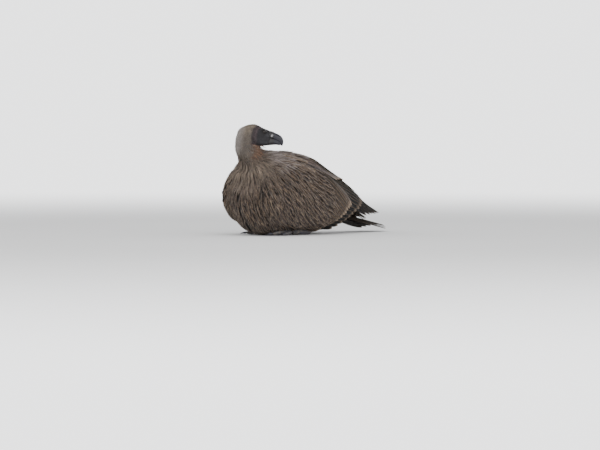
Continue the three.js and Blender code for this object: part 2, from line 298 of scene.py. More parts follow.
def edit_all(piece: Piece, tool: Callable[..., set[str]], **settings: float | bool) -> None:
    """Uses an editing tool on the whole of a piece.

    Args:
        piece: The piece.
        tool: The tool.
        settings: Its settings by name.
    """
    choose(piece)
    bpy.ops.object.mode_set(mode="EDIT")
    bpy.ops.mesh.select_all(action="SELECT")
    tool(**settings)
    bpy.ops.object.mode_set(mode="OBJECT")


def shade_smooth(piece: Piece) -> None:
    """Smooth shading on every face."""
    piece.data.polygons.foreach_set("use_smooth", np.ones(len(piece.data.polygons), bool))
    piece.data.update()


def joined(name: str, pieces: Sequence[Piece]) -> Piece:
    """Joins pieces into one object.

    Args:
        name: Its new name.
        pieces: What is joined.

    Returns:
        The joined object.
    """
    choose(*pieces)
    bpy.ops.object.join()
    whole = bpy.context.view_layer.objects.active
    whole.name = whole.data.name = name
    return whole


def copy_of_node(node: str) -> Piece:
    """A copy of a frame node with its own mesh, its loose triangles merged."""
    piece = bpy.data.objects.new(f"copy_{node}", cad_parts[node].data.copy())
    bpy.context.scene.collection.objects.link(piece)
    piece.data.materials.clear()
    edit_all(piece, bpy.ops.mesh.remove_doubles, threshold=0.00001)
    return piece


def globe(name: str, around: int, along: int, place: Rule) -> Piece:
    """A closed form from a sphere primitive whose points are moved to a rule.

    Args:
        name: The piece's name.
        around: Segments round it.
        along: Rings from one end to the other.
        place: Gives the points in metres for the share along and the angle round it.

    Returns:
        The piece, with its faces pointing outwards.
    """
    clear_selection()
    bpy.ops.mesh.primitive_uv_sphere_add(segments=around, ring_count=along, radius=1.0)
    piece = bpy.context.object
    piece.name = piece.data.name = name
    sphere = points_of(piece.data)
    share = 1 - np.arccos(np.clip(sphere[:, 2], -1, 1)) / math.pi
    angle = np.arctan2(sphere[:, 1], sphere[:, 0])
    set_points(piece.data, place(share, angle))
    edit_all(piece, bpy.ops.mesh.normals_make_consistent, inside=False)
    shade_smooth(piece)
    return piece


def put_colours(mesh: Mesh, name: str, values: Array) -> None:
    """Writes a colour for each point.

    Args:
        mesh: The mesh.
        name: The attribute's name.
        values: Three or four parts for each point.
    """
    full = np.ones((len(mesh.vertices), 4), np.float32)
    full[:, : values.shape[1]] = values
    mesh.attributes.new(name, "FLOAT_COLOR", "POINT").data.foreach_set("color", full.ravel())


def put_map(mesh: Mesh, name: str, values: Array) -> None:
    """Writes a UV map from one place for each point."""
    corners = read(mesh.loops, "vertex_index", 1, whole=True)[:, 0]
    mesh.uv_layers.new(name=name).data.foreach_set("uv", values[corners].astype(np.float32).ravel())


def speckle(points: Array) -> Array:
    """A number from 0 to 1 for each point, as good as by chance."""
    turn = np.sin(points @ np.array([12.9898, 78.233, 37.719])) * 43758.5453
    return turn - np.floor(turn)


class Surface:
    """A closed surface that can be asked for its nearest point, and strewn with roots."""

    def __init__(self, mesh: Mesh, space: BirdSpace) -> None:
        """Keeps the triangles in the bird's millimetres.

        Args:
            mesh: The surface, in metres.
            space: The bird's millimetres.
        """
        mesh.calc_loop_triangles()
        self.triangles = read(mesh.loop_triangles, "vertices", whole=True)
        self.loops = read(mesh.loop_triangles, "loops", whole=True)
        self.points = space.to_mm(points_of(mesh))
        self.normals = normals_of(mesh)
        self.tree = BVHTree.FromPolygons(self.points.tolist(), self.triangles.tolist())
        self.map = read(mesh.uv_layers["OFBake"].data, "uv", 2) if "OFBake" in mesh.uv_layers else None

    def shares(self, where: Array, faces: Array) -> Array:
        """How much of each corner a point in a triangle holds."""
        a, b, c = (self.points[self.triangles[faces, k]] for k in range(3))
        e0, e1, e2 = b - a, c - a, where - a
        d00, d01, d11 = (e0 * e0).sum(1), (e0 * e1).sum(1), (e1 * e1).sum(1)
        d20, d21 = (e2 * e0).sum(1), (e2 * e1).sum(1)
        whole = np.maximum(d00 * d11 - d01 * d01, 1e-12)
        v = np.clip((d11 * d20 - d01 * d21) / whole, 0, 1)
        w = np.clip((d00 * d21 - d01 * d20) / whole, 0, 1)
        return np.stack([np.clip(1 - v - w, 0, 1), v, w], 1)

    def nearest(self, points: Array) -> tuple[Array, Array, Array]:
        """Finds the nearest points.

        Args:
            points: Where to ask from.

        Returns:
            The nearest points, the smooth normals there, and the triangles they lie in.
        """
        found = [self.tree.find_nearest(point) for point in points.tolist()]
        where = np.array([f[0] for f in found])
        faces = np.array([f[2] for f in found])
        share = self.shares(where, faces)
        normal = sum(self.normals[self.triangles[faces, k]] * share[:, k : k + 1] for k in range(3))
        return where, unit(normal), faces

    def map_places(self, points: Array) -> Array:
        """Where points fall on the surface's unwrap."""
        where, _, faces = self.nearest(points)
        share = self.shares(where, faces)
        return sum(self.map[self.loops[faces, k]] * share[:, k : k + 1] for k in range(3))

    def strew(self, spacing: float, keep: Rule, rng: np.random.Generator) -> Array:
        """Strews roots that keep their distance from each other.

        Args:
            spacing: The least distance between two roots.
            keep: Says which points, with their normals, lie in the tract.
            rng: The seeded source of chance.

        Returns:
            The roots.
        """
        a, b, c = (self.points[self.triangles[:, k]] for k in range(3))
        centre = (a + b + c) / 3
        cross = np.cross(b - a, c - a)
        area = np.linalg.norm(cross, axis=1) / 2
        inside = keep(centre, unit(cross))
        area = np.where(inside, area, 0.0)
        if area.sum() <= 0:
            return np.zeros((0, 3))
        count = int(area.sum() / spacing**2 * 5)
        pick = rng.choice(len(area), count, p=area / area.sum())
        r1, r2 = np.sqrt(rng.random(count)), rng.random(count)
        shares = (1 - r1)[:, None], (r1 * (1 - r2))[:, None], (r1 * r2)[:, None]
        thrown = a[pick] * shares[0] + b[pick] * shares[1] + c[pick] * shares[2]
        cells: dict[tuple[int, int, int], list[int]] = {}
        kept: list[int] = []
        boxes = np.floor(thrown / spacing).astype(int).tolist()
        places = thrown.tolist()
        limit = spacing * spacing
        around = [(i, j, k) for i in (-1, 0, 1) for j in (-1, 0, 1) for k in (-1, 0, 1)]
        for n, (box, p) in enumerate(zip(boxes, places)):
            boxes_near = ((box[0] + i, box[1] + j, box[2] + k) for i, j, k in around)
            near = (places[m] for other in boxes_near for m in cells.get(other, ()))
            if all((p[0] - q[0]) ** 2 + (p[1] - q[1]) ** 2 + (p[2] - q[2]) ** 2 >= limit for q in near):
                cells.setdefault((box[0], box[1], box[2]), []).append(n)
                kept.append(n)
        return thrown[kept]


# ---- the body's guide
@dataclass
class BodyGuide:
    """The smooth body under all long feathers, in rows of x, half width, middle and half height."""

    rows: Rows = field(
        default_factory=lambda: Rows([
            [-262, 74, 122, 60], [-236, 86, 124, 86], [-200, 103, 126, 112], [-140, 117, 128, 130],
            [-60, 125, 127, 131], [20, 123, 121, 123], [100, 107, 107, 100], [180, 84, 95, 77],
            [240, 64, 81, 54], [300, 46, 63, 36], [370, 30, 45, 20],
        ])
    )

    def place(self, x: Array, rise: Array, out: Array, side: Side) -> Array:
        """A point over the body.

        Args:
            x: How far back, in millimetres.
            rise: The angle above the horizontal, in degrees.
            out: The height over the guide.
            side: Which side of the body.

        Returns:
            The points, in the bird's millimetres.
        """
        width, middle, height = self.rows.at(x)
        angle = np.radians(rise)
        slope = unit(np.stack([np.cos(angle) / width, np.sin(angle) / height], -1))
        y = side.value * (width * np.cos(angle) + slope[..., 0] * out)
        return np.stack([x, y, middle + height * np.sin(angle) + slope[..., 1] * out], -1)

    def rise_at(self, points: Array) -> Array:
        """The angle above the horizontal, in degrees, that points lie at."""
        width, middle, height = self.rows.at(points[:, 0])
        return np.degrees(np.arctan2((points[:, 2] - middle) / height, np.abs(points[:, 1]) / width))


class Shell:
    """The plumage's outer face over the guide: how high it stands at each x and rise."""

    def __init__(self, guide: BodyGuide, surface: Surface) -> None:
        """Measures the heights from outside, along the guide's normals.

        Args:
            guide: The body's guide.
            surface: The outer face of trunk, wings and shoulders.
        """
        self.guide = guide
        self.x_line = np.linspace(-255, 400, 84)
        self.rise_line = np.linspace(-80, 96, 60)
        grid_x, grid_rise = np.meshgrid(self.x_line, self.rise_line, indexing="ij")
        far = guide.place(grid_x, grid_rise, np.full(grid_x.shape, 70.0), Side.LEFT).reshape(-1, 3)
        near = guide.place(grid_x, grid_rise, np.zeros(grid_x.shape), Side.LEFT).reshape(-1, 3)
        inwards = unit(near - far)
        heights = np.zeros(len(far))
        for i, (start, way) in enumerate(zip(far.tolist(), inwards.tolist())):
            hit = surface.tree.ray_cast(start, way, 90.0)
            heights[i] = 70.0 - hit[3] if hit[0] is not None else 0.0
        table = np.clip(heights.reshape(grid_x.shape), 0.0, 45.0)
        for _ in range(3):
            table = self.blurred(table)
        self.table = table

    def roofed(self, start: float, base: float, slope: float) -> "Shell":
        """The same shell for long stiff feathers, which bridge the hollow behind the folded arm.

        Args:
            start: The x from which they lie at least `base` high.
            base: That height.
            slope: How steeply they may come down towards the tail.

        Returns:
            The roof.
        """
        roof = copy.copy(self)
        step = slope * (self.x_line[1] - self.x_line[0])
        table = np.maximum(self.table, base * ease(start - 60, start, self.x_line)[:, None])
        for i in range(1, len(table)):
            table[i] = np.maximum(table[i], table[i - 1] - step)
        roof.table = self.blurred(self.blurred(table))
        return roof

    @staticmethod
    def blurred(table: Array) -> Array:
        """The table, softened by its neighbours."""
        padded = np.pad(table, 1, mode="edge")
        middle = 4 * padded[1:-1, 1:-1]
        return (middle + padded[:-2, 1:-1] + padded[2:, 1:-1] + padded[1:-1, :-2] + padded[1:-1, 2:]) / 8

    @staticmethod
    def cell(line: Array, values: Array) -> tuple[Array, Array]:
        """Which step of a line values fall in, and how far into it."""
        place = np.clip((values - line[0]) / (line[1] - line[0]), 0, len(line) - 1.001)
        return place.astype(int), place - place.astype(int)

    def height(self, x: Array, rise: Array) -> Array:
        """The height of the outer face over the guide."""
        i, past_i = self.cell(self.x_line, x)
        j, past_j = self.cell(self.rise_line, rise)
        t = self.table
        low = t[i, j] * (1 - past_i) + t[i + 1, j] * past_i
        high = t[i, j + 1] * (1 - past_i) + t[i + 1, j + 1] * past_i
        return low * (1 - past_j) + high * past_j

    def place(self, x: Array, rise: Array, lift: Array, side: Side) -> Array:
        """A point at a height over the plumage's outer face."""
        return self.guide.place(x, rise, self.height(x, rise) + lift, side)


@dataclass
class BodyForm:
    """The full body that the plumage makes: the guide at the plumage's height, closed at both ends."""

    shell: Shell
    start: float = -238.0
    end: float = 150.0

    def build(self, space: BirdSpace) -> Piece:
        """Makes the form.

        Args:
            space: The bird's millimetres.

        Returns:
            The piece.
        """

        def place(share: Array, angle: Array) -> Array:
            x = mix(self.start, self.end, (1 - np.cos(np.pi * share)) / 2)
            rise = np.degrees(angle)
            folded = np.where(np.abs(rise) > 90, np.sign(rise) * 180 - rise, rise)
            out = self.shell.height(x, folded) - 1.0
            full = self.shell.guide.place(x, rise, out, Side.LEFT)
            close = (round_end(x - self.start, 46) * round_end(self.end - x, 110))[:, None]
            _, middle, _ = self.shell.guide.rows.at(x)
            core = np.stack([x, np.zeros_like(x), middle], -1)
            return space.to_metres(mix(core, full, close))

        return globe("body_form", 72, 56, place)


# ---- markings
@dataclass(frozen=True)
class Palette:
    """The bird's colours in linear light."""

    crown: Colour = srgb(164, 148, 130)
    nape: Colour = srgb(134, 121, 109)
    nape_rim: Colour = srgb(196, 186, 180)
    mauve: Colour = srgb(69, 57, 59)
    slate: Colour = srgb(26, 23, 26)
    lore: Colour = srgb(44, 43, 46)
    jaw: Colour = srgb(54, 54, 57)
    eye_ring: Colour = srgb(20, 18, 19)
    fluff: Colour = srgb(166, 126, 98)
    neck_base: Colour = srgb(146, 130, 114)
    # painted shade: the dark skin that shows in the gaps between feathers
    under_coat_shade: Colour = srgb(46, 40, 38)
    back_coat: Colour = srgb(88, 79, 76)


@dataclass
class Markings:
    """Where each colour of head and neck lies; skin and down share it."""

    space: BirdSpace
    palette: Palette = Palette()

    @staticmethod
    def face_edge(head: Array) -> Array:
        """How far forward points of the head are, along the slanting line where pale down meets the face."""
        return head[:, 0] - 11.0 * ease(8, 25, head[:, 2]) - 5.0 * ease(-8, -30, head[:, 2])

    def head_and_neck(self, points: Array) -> Array:
        """The colour at points of the head and neck.

        Args:
            points: Points in the bird's millimetres.

        Returns:
            The colours.
        """
        colours = self.palette
        head = self.space.to_head(points)
        hx, hy, hz = head[:, 0], np.abs(head[:, 1]), head[:, 2]
        out = np.tile(np.array(colours.crown), (len(points), 1))

        def paint(colour: Colour, share: Array) -> None:
            nonlocal out
            out = painted(out, colour, np.clip(share, 0, 1))

        paint(colours.nape, ease(345, 318, points[:, 2]))
        behind = ease(-52, -76, hx) * ease(250, 285, points[:, 2])
        paint(colours.nape_rim, behind * 0.85)
        paint(colours.neck_base, ease(272, 246, points[:, 2]))
        edge = self.face_edge(head)
        above_throat = ease(-52, -40, hz)
        paint(colours.mauve, ease(-40, -31, edge) * above_throat)
        paint(colours.slate, ease(-24, -14, edge) * ease(-48, -40, hz))
        front = ease(-38, -18, hx) * ease(32, 14, hx) * ease(-37, -42, hz)
        front = front * ease(236, 256, points[:, 2])
        paint(colours.fluff, front)
        paint(colours.lore, bump(hx, 15, 8) * bump(hz, 0, 8))
        paint(colours.jaw, bump(hx, 8, 24) * bump(hz, -27, 10) * 0.8)
        eye_x, _, eye_z = HeadShape.eye
        ring = np.hypot(hx - eye_x, hz - eye_z)
        paint(colours.eye_ring, ease(13, 8, ring) * ease(6, 12, hy) * 0.85)
        return out

    def hide(self, points: Array) -> Array:
        """The skin's colour: the head's own, with painted shade for the gaps between tufts and feathers:
        darker under the down, and dark under the feathers.
        """
        head = self.space.to_head(points)
        colour = self.head_and_neck(points)
        bare = ease(-32, -18, self.face_edge(head)) * ease(-40, -34, head[:, 2])
        # painted shade: skin under the down at half its colour, to darken the gaps between tufts
        colour = colour * mix(0.5, 1.0, bare)[:, None]
        colour = painted(colour, self.palette.back_coat, ease(36, 60, head[:, 0]))
        # painted shade: dark skin under the feathers, to darken the gaps between them
        return painted(colour, self.palette.under_coat_shade, ease(262, 225, points[:, 2]))


# ---- vanes
@dataclass(frozen=True)
class VaneCut:
    """How a vane is cut and arched."""

    waist: float = 0.4  # share of its width at the root
    shoulder: float = 0.55  # where along it the tip begins
    point: float = 0.6  # 0.5 for a round tip, 1 and over for a pointed one
    ragged: float = 0.12  # how uneven the edge is
    camber: float = 0.8  # how far the edges bend down, in millimetres
    thickness: float = 0.45
    rachis: float = 0.0  # height of the shaft's ridge
    half_ring: int = 2  # half the points round the vane

    def width_share(self, along: Array) -> Array:
        """The share of the full width at places along the vane."""
        root = mix(self.waist, 1.0, ease(0.0, 0.32, along))
        past = np.clip((along - self.shoulder) / (1 - self.shoulder), 0, 1)
        return np.maximum(root * (1 - past**2.2) ** self.point, 0.05)


@dataclass
class VaneBatch:
    """Feathers of one kind, laid out: for each, stations from root to tip."""

    line: Array  # feather, station, xyz: the shaft
    up: Array  # feather, station, xyz: away from the body
    left: Array  # feather, station: width to the left of the shaft
    right: Array
    colour: Array  # feather, station, rgb
    streak: Array  # feather: how strong the pale shaft is
    edge: Array  # feather: how strong the pale edge is
    chance: Array  # feather: a number of its own
    cut: VaneCut
    along: Array | None = None  # station: how far along each is, if they are not even


def stations_along(count: int) -> Array:
    """Places along a large vane, closer together towards its tip."""
    return 1 - (1 - np.linspace(0, 1, count)) ** 1.6


@dataclass
class VaneLoft:
    """Turns laid-out feathers into one closed mesh, each vane a thin lofted body."""

    name: str
    space: BirdSpace
    skin: Surface  # for the places of the roots on its unwrap
    batches: list[VaneBatch] = field(default_factory=list)

    def add(self, batch: VaneBatch) -> None:
        """Adds feathers to the piece."""
        if len(batch.line):
            self.batches.append(batch)

    @staticmethod
    def ring_of(batch: VaneBatch) -> tuple[Array, Array]:
        """All points of a batch and the place across the vane of each.

        Args:
            batch: The laid-out feathers.

        Returns:
            Points as feather, station, ring, xyz, and the share across for each ring point.
        """
        cut = batch.cut
        half = cut.half_ring
        ahead = np.gradient(batch.line, axis=1)
        side = unit(np.cross(unit(ahead), batch.up))
        up = unit(np.cross(side, unit(ahead)))
        top = np.linspace(0, 1, half + 1)
        across = np.concatenate([top, top[-2:0:-1]])
        lateral = (across * 2 - 1)[None, None, :]
        reach = np.where(lateral < 0, batch.left[..., None], batch.right[..., None]) * lateral
        full = np.maximum(batch.left + batch.right, 1e-6)[..., None] / 2
        widest = full.max(axis=1, keepdims=True)
        drop = -cut.camber * lateral**2 * (full / widest) ** 1.2
        face = np.concatenate([np.ones(half + 1), -np.ones(half - 1)])
        face[0] = face[half] = 0.0
        thick = cut.thickness * (0.35 + 0.65 * (full / widest))
        lift = drop + face[None, None, :] * thick / 2
        ridge = cut.rachis * np.exp(-((lateral / 0.12) ** 2)) * (face > 0)[None, None, :]
        taper = np.linspace(1, 0.25, batch.line.shape[1])[None, :, None]
        lift = lift + ridge * taper
        points = (
            batch.line[:, :, None, :]
            + side[:, :, None, :] * reach[..., None]
            + up[:, :, None, :] * lift[..., None]
        )
        return points, across

    def build(self) -> Piece:
        """Makes the mesh with its colours and maps.

        Returns:
            The finished piece.
        """
        points, quads, caps, cap_sizes, coats, marks, vane, patch = ([] for _ in range(8))
        start = 0
        for batch in self.batches:
            ring_points, across = self.ring_of(batch)
            shape = ring_points.shape[:3]
            count, stations, ring = shape
            index = np.arange(count * stations * ring).reshape(shape) + start
            start += count * stations * ring
            a, d = index[:, :-1, :], index[:, 1:, :]
            quads.append(np.stack([a, np.roll(a, -1, axis=2), np.roll(d, -1, axis=2), d], -1).reshape(-1, 4))
            caps += [index[:, 0, ::-1].reshape(-1), index[:, -1, :].reshape(-1)]
            cap_sizes.append(np.full(2 * count, ring))
            points.append(ring_points.reshape(-1, 3))
            coats.append(
                (np.broadcast_to(batch.colour[:, :, None, :], (*shape, 3)) * COAT_TONE).reshape(-1, 3)
            )
            even = np.linspace(0, 1, stations) if batch.along is None else batch.along
            along = np.broadcast_to(even[None, :, None], shape)
            crosswise = np.broadcast_to(across[None, None, :], shape)
            own = (batch.streak, batch.edge, batch.chance)
            single = [np.broadcast_to(value[:, None, None], shape) for value in own]
            marks.append(np.stack([*single, along], -1).reshape(-1, 4))
            vane.append(np.stack([crosswise, along], -1).reshape(-1, 2))
            place = self.skin.map_places(batch.line[:, 0])[:, None, None, :]
            spread = (np.stack([crosswise, along], -1) - 0.5) * PATCH
            patch.append((place + spread).reshape(-1, 2))
        mesh = self.assemble(np.concatenate(points), np.concatenate(quads), caps, np.concatenate(cap_sizes))
        put_colours(mesh, "coat", np.concatenate(coats))
        put_colours(mesh, "marks", np.concatenate(marks))
        put_map(mesh, "vane", np.concatenate(vane))
        put_map(mesh, "OFBake", np.clip(np.concatenate(patch), 0.0, 1.0))
        piece = bpy.data.objects.new(self.name, mesh)
        bpy.context.scene.collection.objects.link(piece)
        return piece

    def assemble(self, points: Array, quads: Array, caps: list[Array], cap_sizes: Array) -> Mesh:
        """Writes points and faces into a mesh.

        Args:
            points: All points in the bird's millimetres.
            quads: The faces along the vanes.
            caps: The corners of the end faces, one after another.
            cap_sizes: How many corners each end face has.

        Returns:
            The mesh.
        """
        points[:, 2] = np.maximum(points[:, 2], FLOOR_CLEARANCE)
        mesh = bpy.data.meshes.new(self.name)
        corners = np.concatenate([quads.ravel(), *caps]).astype(np.int32)
        sizes = np.concatenate([np.full(len(quads), 4), cap_sizes]).astype(np.int32)
        mesh.vertices.add(len(points))
        mesh.loops.add(len(corners))
        mesh.polygons.add(len(sizes))
        mesh.vertices.foreach_set("co", self.space.to_metres(points).astype(np.float32).ravel())
        mesh.loops.foreach_set("vertex_index", corners)
        mesh.polygons.foreach_set("loop_start", np.concatenate([[0], np.cumsum(sizes)[:-1]]).astype(np.int32))
        mesh.polygons.foreach_set("use_smooth", np.ones(len(sizes), bool))
        mesh.update(calc_edges=True)
        return mesh


# ---- laying feathers on a surface
@dataclass(frozen=True)
class FeatherKind:
    """One kind of body feather, in millimetres."""

    length: float
    width: float
    spacing: float
    depth: float  # how deep the root lies under the coat's face
    lift: float  # how far the tip stands off the coat's face
    cut: VaneCut
    stations: int = 8
    stray: float = 10.0  # how far a feather may turn from the lie of the coat, in degrees
    uneven: float = 0.15  # how much sizes differ
    # the root colour is darker than the tip: the feather's own darker base, with painted shade where it shows
    # in the gaps between feathers
    root: Colour = srgb(80, 70, 66)
    tip: Colour = srgb(110, 98, 88)
    streak: float = 0.0
    edge: float = 0.0


@dataclass
class CoatLayer:
    """Lays feathers of a kind along a surface, root under and tip over the next one's root."""

    surface: Surface
    flow: Flow  # the lie of the coat at given points
    seed: int

    def march(self, roots: Array, lengths: Array, turn: Array, stations: int) -> tuple[Array, Array]:
        """Follows the lie of the coat from each root.

        Args:
            roots: Where the feathers start.
            lengths: Their lengths.
            turn: How far each turns from the lie, in radians.
            stations: Stations along each.

        Returns:
            The stations on the surface, and the normals there.
        """
        where, normal, _ = self.surface.nearest(roots)
        line, up = [where], [normal]
        step = (lengths / (stations - 1))[:, None]
        for i in range(stations - 1):
            way = self.flow(where)
            way = unit(way - normal * (way * normal).sum(1, keepdims=True))
            veer = turn * (1 - 0.5 * i / stations)
            way = way * np.cos(veer)[:, None] + np.cross(normal, way) * np.sin(veer)[:, None]
            where, normal, _ = self.surface.nearest(where + way * step)
            line.append(where)
            up.append(normal)
        return np.stack(line, 1), np.stack(up, 1)

    def lay(
        self, kind: FeatherKind, keep: Rule, tint: Rule | None = None, size: Flow | None = None,
    ) -> VaneBatch:
        """Strews roots over a tract and lays a feather from each.

        Args:
            kind: The kind of feather.
            keep: Which points and normals lie in the tract.
            tint: Gives the feathers' colours from their roots and the colours drawn for them.
            size: Gives a share of the full size at points.

        Returns:
            The feathers, laid out.
        """
        rng = np.random.default_rng(self.seed)
        roots = self.surface.strew(kind.spacing, keep, rng)
        count = len(roots)
        scale = 1 + kind.uneven * rng.uniform(-1, 1, count)
        if size is not None:
            scale = scale * size(roots)
        turn = np.radians(kind.stray) * rng.normal(0, 0.5, count)
        line, up = self.march(roots, kind.length * scale, turn, kind.stations)
        along = np.linspace(0, 1, kind.stations)
        loft = rng.uniform(0.0, 1.0, count)[:, None]
        height = -kind.depth * (1 - along) ** 1.5 + (kind.lift * (0.35 + 0.65 * loft)) * along**2 - 0.4 * loft
        line = line + up * height[..., None]
        share = kind.cut.width_share(along)[None, :]
        frayed = rng.normal(0, 1, (2, count, kind.stations))
        rough = 1 + kind.cut.ragged * frayed * ease(0.15, 0.5, along)
        half = kind.width / 2 * scale[:, None] * share
        tone = rng.normal(0, 1, (count, 1, 1))
        # darker towards the root: the feather's own base colour and painted shade for the gaps between
        # feathers
        colour = mix(np.array(kind.root), np.array(kind.tip), ease(0.1, 0.95, along)[None, :, None])
        warmth = 0.06 * rng.normal(0, 1, (count, 1, 1)) * np.array([0.8, 0.1, -1.0])
        colour = colour * (1 + 0.13 * tone) * (1 + warmth)
        if tint is not None:
            colour = tint(roots, colour)
        return VaneBatch(
            line=line, up=up, left=half * np.clip(rough[0], 0.4, 1.5),
            right=half * np.clip(rough[1], 0.4, 1.5), colour=np.clip(colour, 0.001, 0.95),
            streak=np.full(count, kind.streak) * rng.uniform(0.5, 1.15, count),
            edge=np.full(count, kind.edge) * rng.uniform(0.4, 1.1, count), chance=rng.random(count),
            cut=kind.cut,
        )


# ---- skin
@dataclass
class HeadShape:
    """The head's form in its own frame: +X to the bill, +Y to the bird's left, +Z up, in millimetres."""

    rows: Rows = field(
        default_factory=lambda: Rows([
            [-84, 11, 6, -26], [-76, 16.5, 12, -29], [-68, 19, 15, -30], [-56, 21.5, 21.5, -32],
            [-40, 24.5, 26.2, -37.5], [-22, 26, 24.2, -41.5], [-3, 23.6, 19.4, -40.6],
            [14, 18.5, 16.2, -35.5], [26, 14.0, 13.6, -31.5],
        ])
    )
    start: float = -86.0
    end: float = 29.0
    eye: tuple[float, float, float] = (3.0, 11.4, 8.0)
    eye_radius: float = 8.2
    opening: tuple[float, float] = (5.4, 4.5)  # half the length and height of the eye between its lids
    pitch: float = 12.0  # how far the bill points down, in degrees

    def form(self, share: Array, angle: Array) -> Array:
        """The head's plain form.

        Args:
            share: How far along, from the hind head to the bill.
            angle: The angle round it.

        Returns:
            Points in the head's frame.
        """
        x = mix(self.start, self.end, (1 - np.cos(np.pi * share)) / 2)
        side, top, bottom = self.rows.at(x)
        close = round_end(x - self.start, 22) * round_end(self.end - x, 7)
        sine = np.sin(angle)
        fuller = 1 - 0.08 * sine - 0.05 * sine**3
        z = (top + bottom) / 2 + (top - bottom) / 2 * close * sine
        return np.stack([x, side * fuller * close * np.cos(angle), z], -1)

    def build(self, name: str, around: int, along: int, space: BirdSpace) -> Piece:
        """The plain form as a closed piece of so many segments and rings."""
        return globe(name, around, along, lambda share, angle: space.head_to_metres(self.form(share, angle)))

    def lids(self, head: Array) -> Array:
        """Draws the lids over the eyeballs and opens them.

        Args:
            head: Points of the skin in the head's frame.

        Returns:
            The moved points.
        """
        eye_x, eye_y, eye_z = self.eye
        dx = (head[:, 0] - eye_x) / self.opening[0]
        dz = (head[:, 2] - eye_z) / self.opening[1]
        ring = np.hypot(dx, dz)
        reach = np.hypot(head[:, 0] - eye_x, head[:, 2] - eye_z)
        side = np.sign(head[:, 1])
        depth = np.abs(head[:, 1])
        near = (depth > 8) & (reach < 14)
        lid = eye_y + np.sqrt(np.clip((self.eye_radius + 0.7) ** 2 - reach**2, 0, None))
        socket = eye_y + np.sqrt(np.clip((self.eye_radius - 2.2) ** 2 - reach**2, 0, None))
        rim = 0.22 * bump(ring, 1.12, 0.12)
        fold = -0.55 * bump(ring, 1.42, 0.10)
        lidded = mix(lid, depth, ease(1.25, 1.8, ring)) + rim + fold
        lidded = np.where(ring > 1.2, np.maximum(lidded, depth + fold), lidded)
        moved = np.where(ring < 1.0, socket, lidded)
        out = head.copy()
        out[near, 1] = (side * moved)[near]
        return out

    def relief(self, head: Array) -> Array:
        """How far folds and bone stand out of the plain form.

        Args:
            head: Points of the skin in the head's frame.

        Returns:
            The heights in millimetres, out of the skin.
        """
        x, y, z = head[:, 0], np.abs(head[:, 1]), head[:, 2]
        flank = ease(5, 11, y)
        brow_line = 14.8 - 0.010 * (x - 3) ** 2 - 0.10 * (x - 3)
        brow = 1.9 * np.exp(-(((z - brow_line) / 2.4) ** 2)) * bump(x, 4, 12) * flank
        lore = -1.5 * bump(x, 15.5, 5) * bump(z, 4, 5.5) * flank
        cheek = 1.3 * bump(x, 1, 10) * bump(z, -15, 8) * flank
        gape = -1.6 * bump(z + 7.6 - 0.06 * (x - 20), 0, 1.1) * ease(13, 18, x)
        crease_line = -8.5 - 0.35 * (17 - x)
        crease = -0.9 * bump(z - crease_line, 0, 1.2) * ease(0, 6, x) * ease(20, 15, x)
        ear_reach = np.hypot((x + 21) / 2.4, (z + 5) / 3.0)
        ear = (-2.4 * bump(ear_reach, 0, 1) + 0.7 * bump(ear_reach, 1.9, 0.5)) * flank
        folds = 0.40 * np.sin(x * 1.15 + 0.12 * z) * ease(-24, -31, z) * ease(-14, -4, x)
        lines = sum(-0.45 * bump(z - level - 0.12 * (x - 8), 0, 0.8) for level in (-3.0, -13.5, -19.0, -24.5))
        lines = lines * bump(x, 9, 8) * flank
        crown = 0.25 * np.sin(x * 0.9) * ease(14, 20, z) * ease(-16, -6, x)
        return brow + lore + cheek + gape + crease + ear + folds + lines + crown


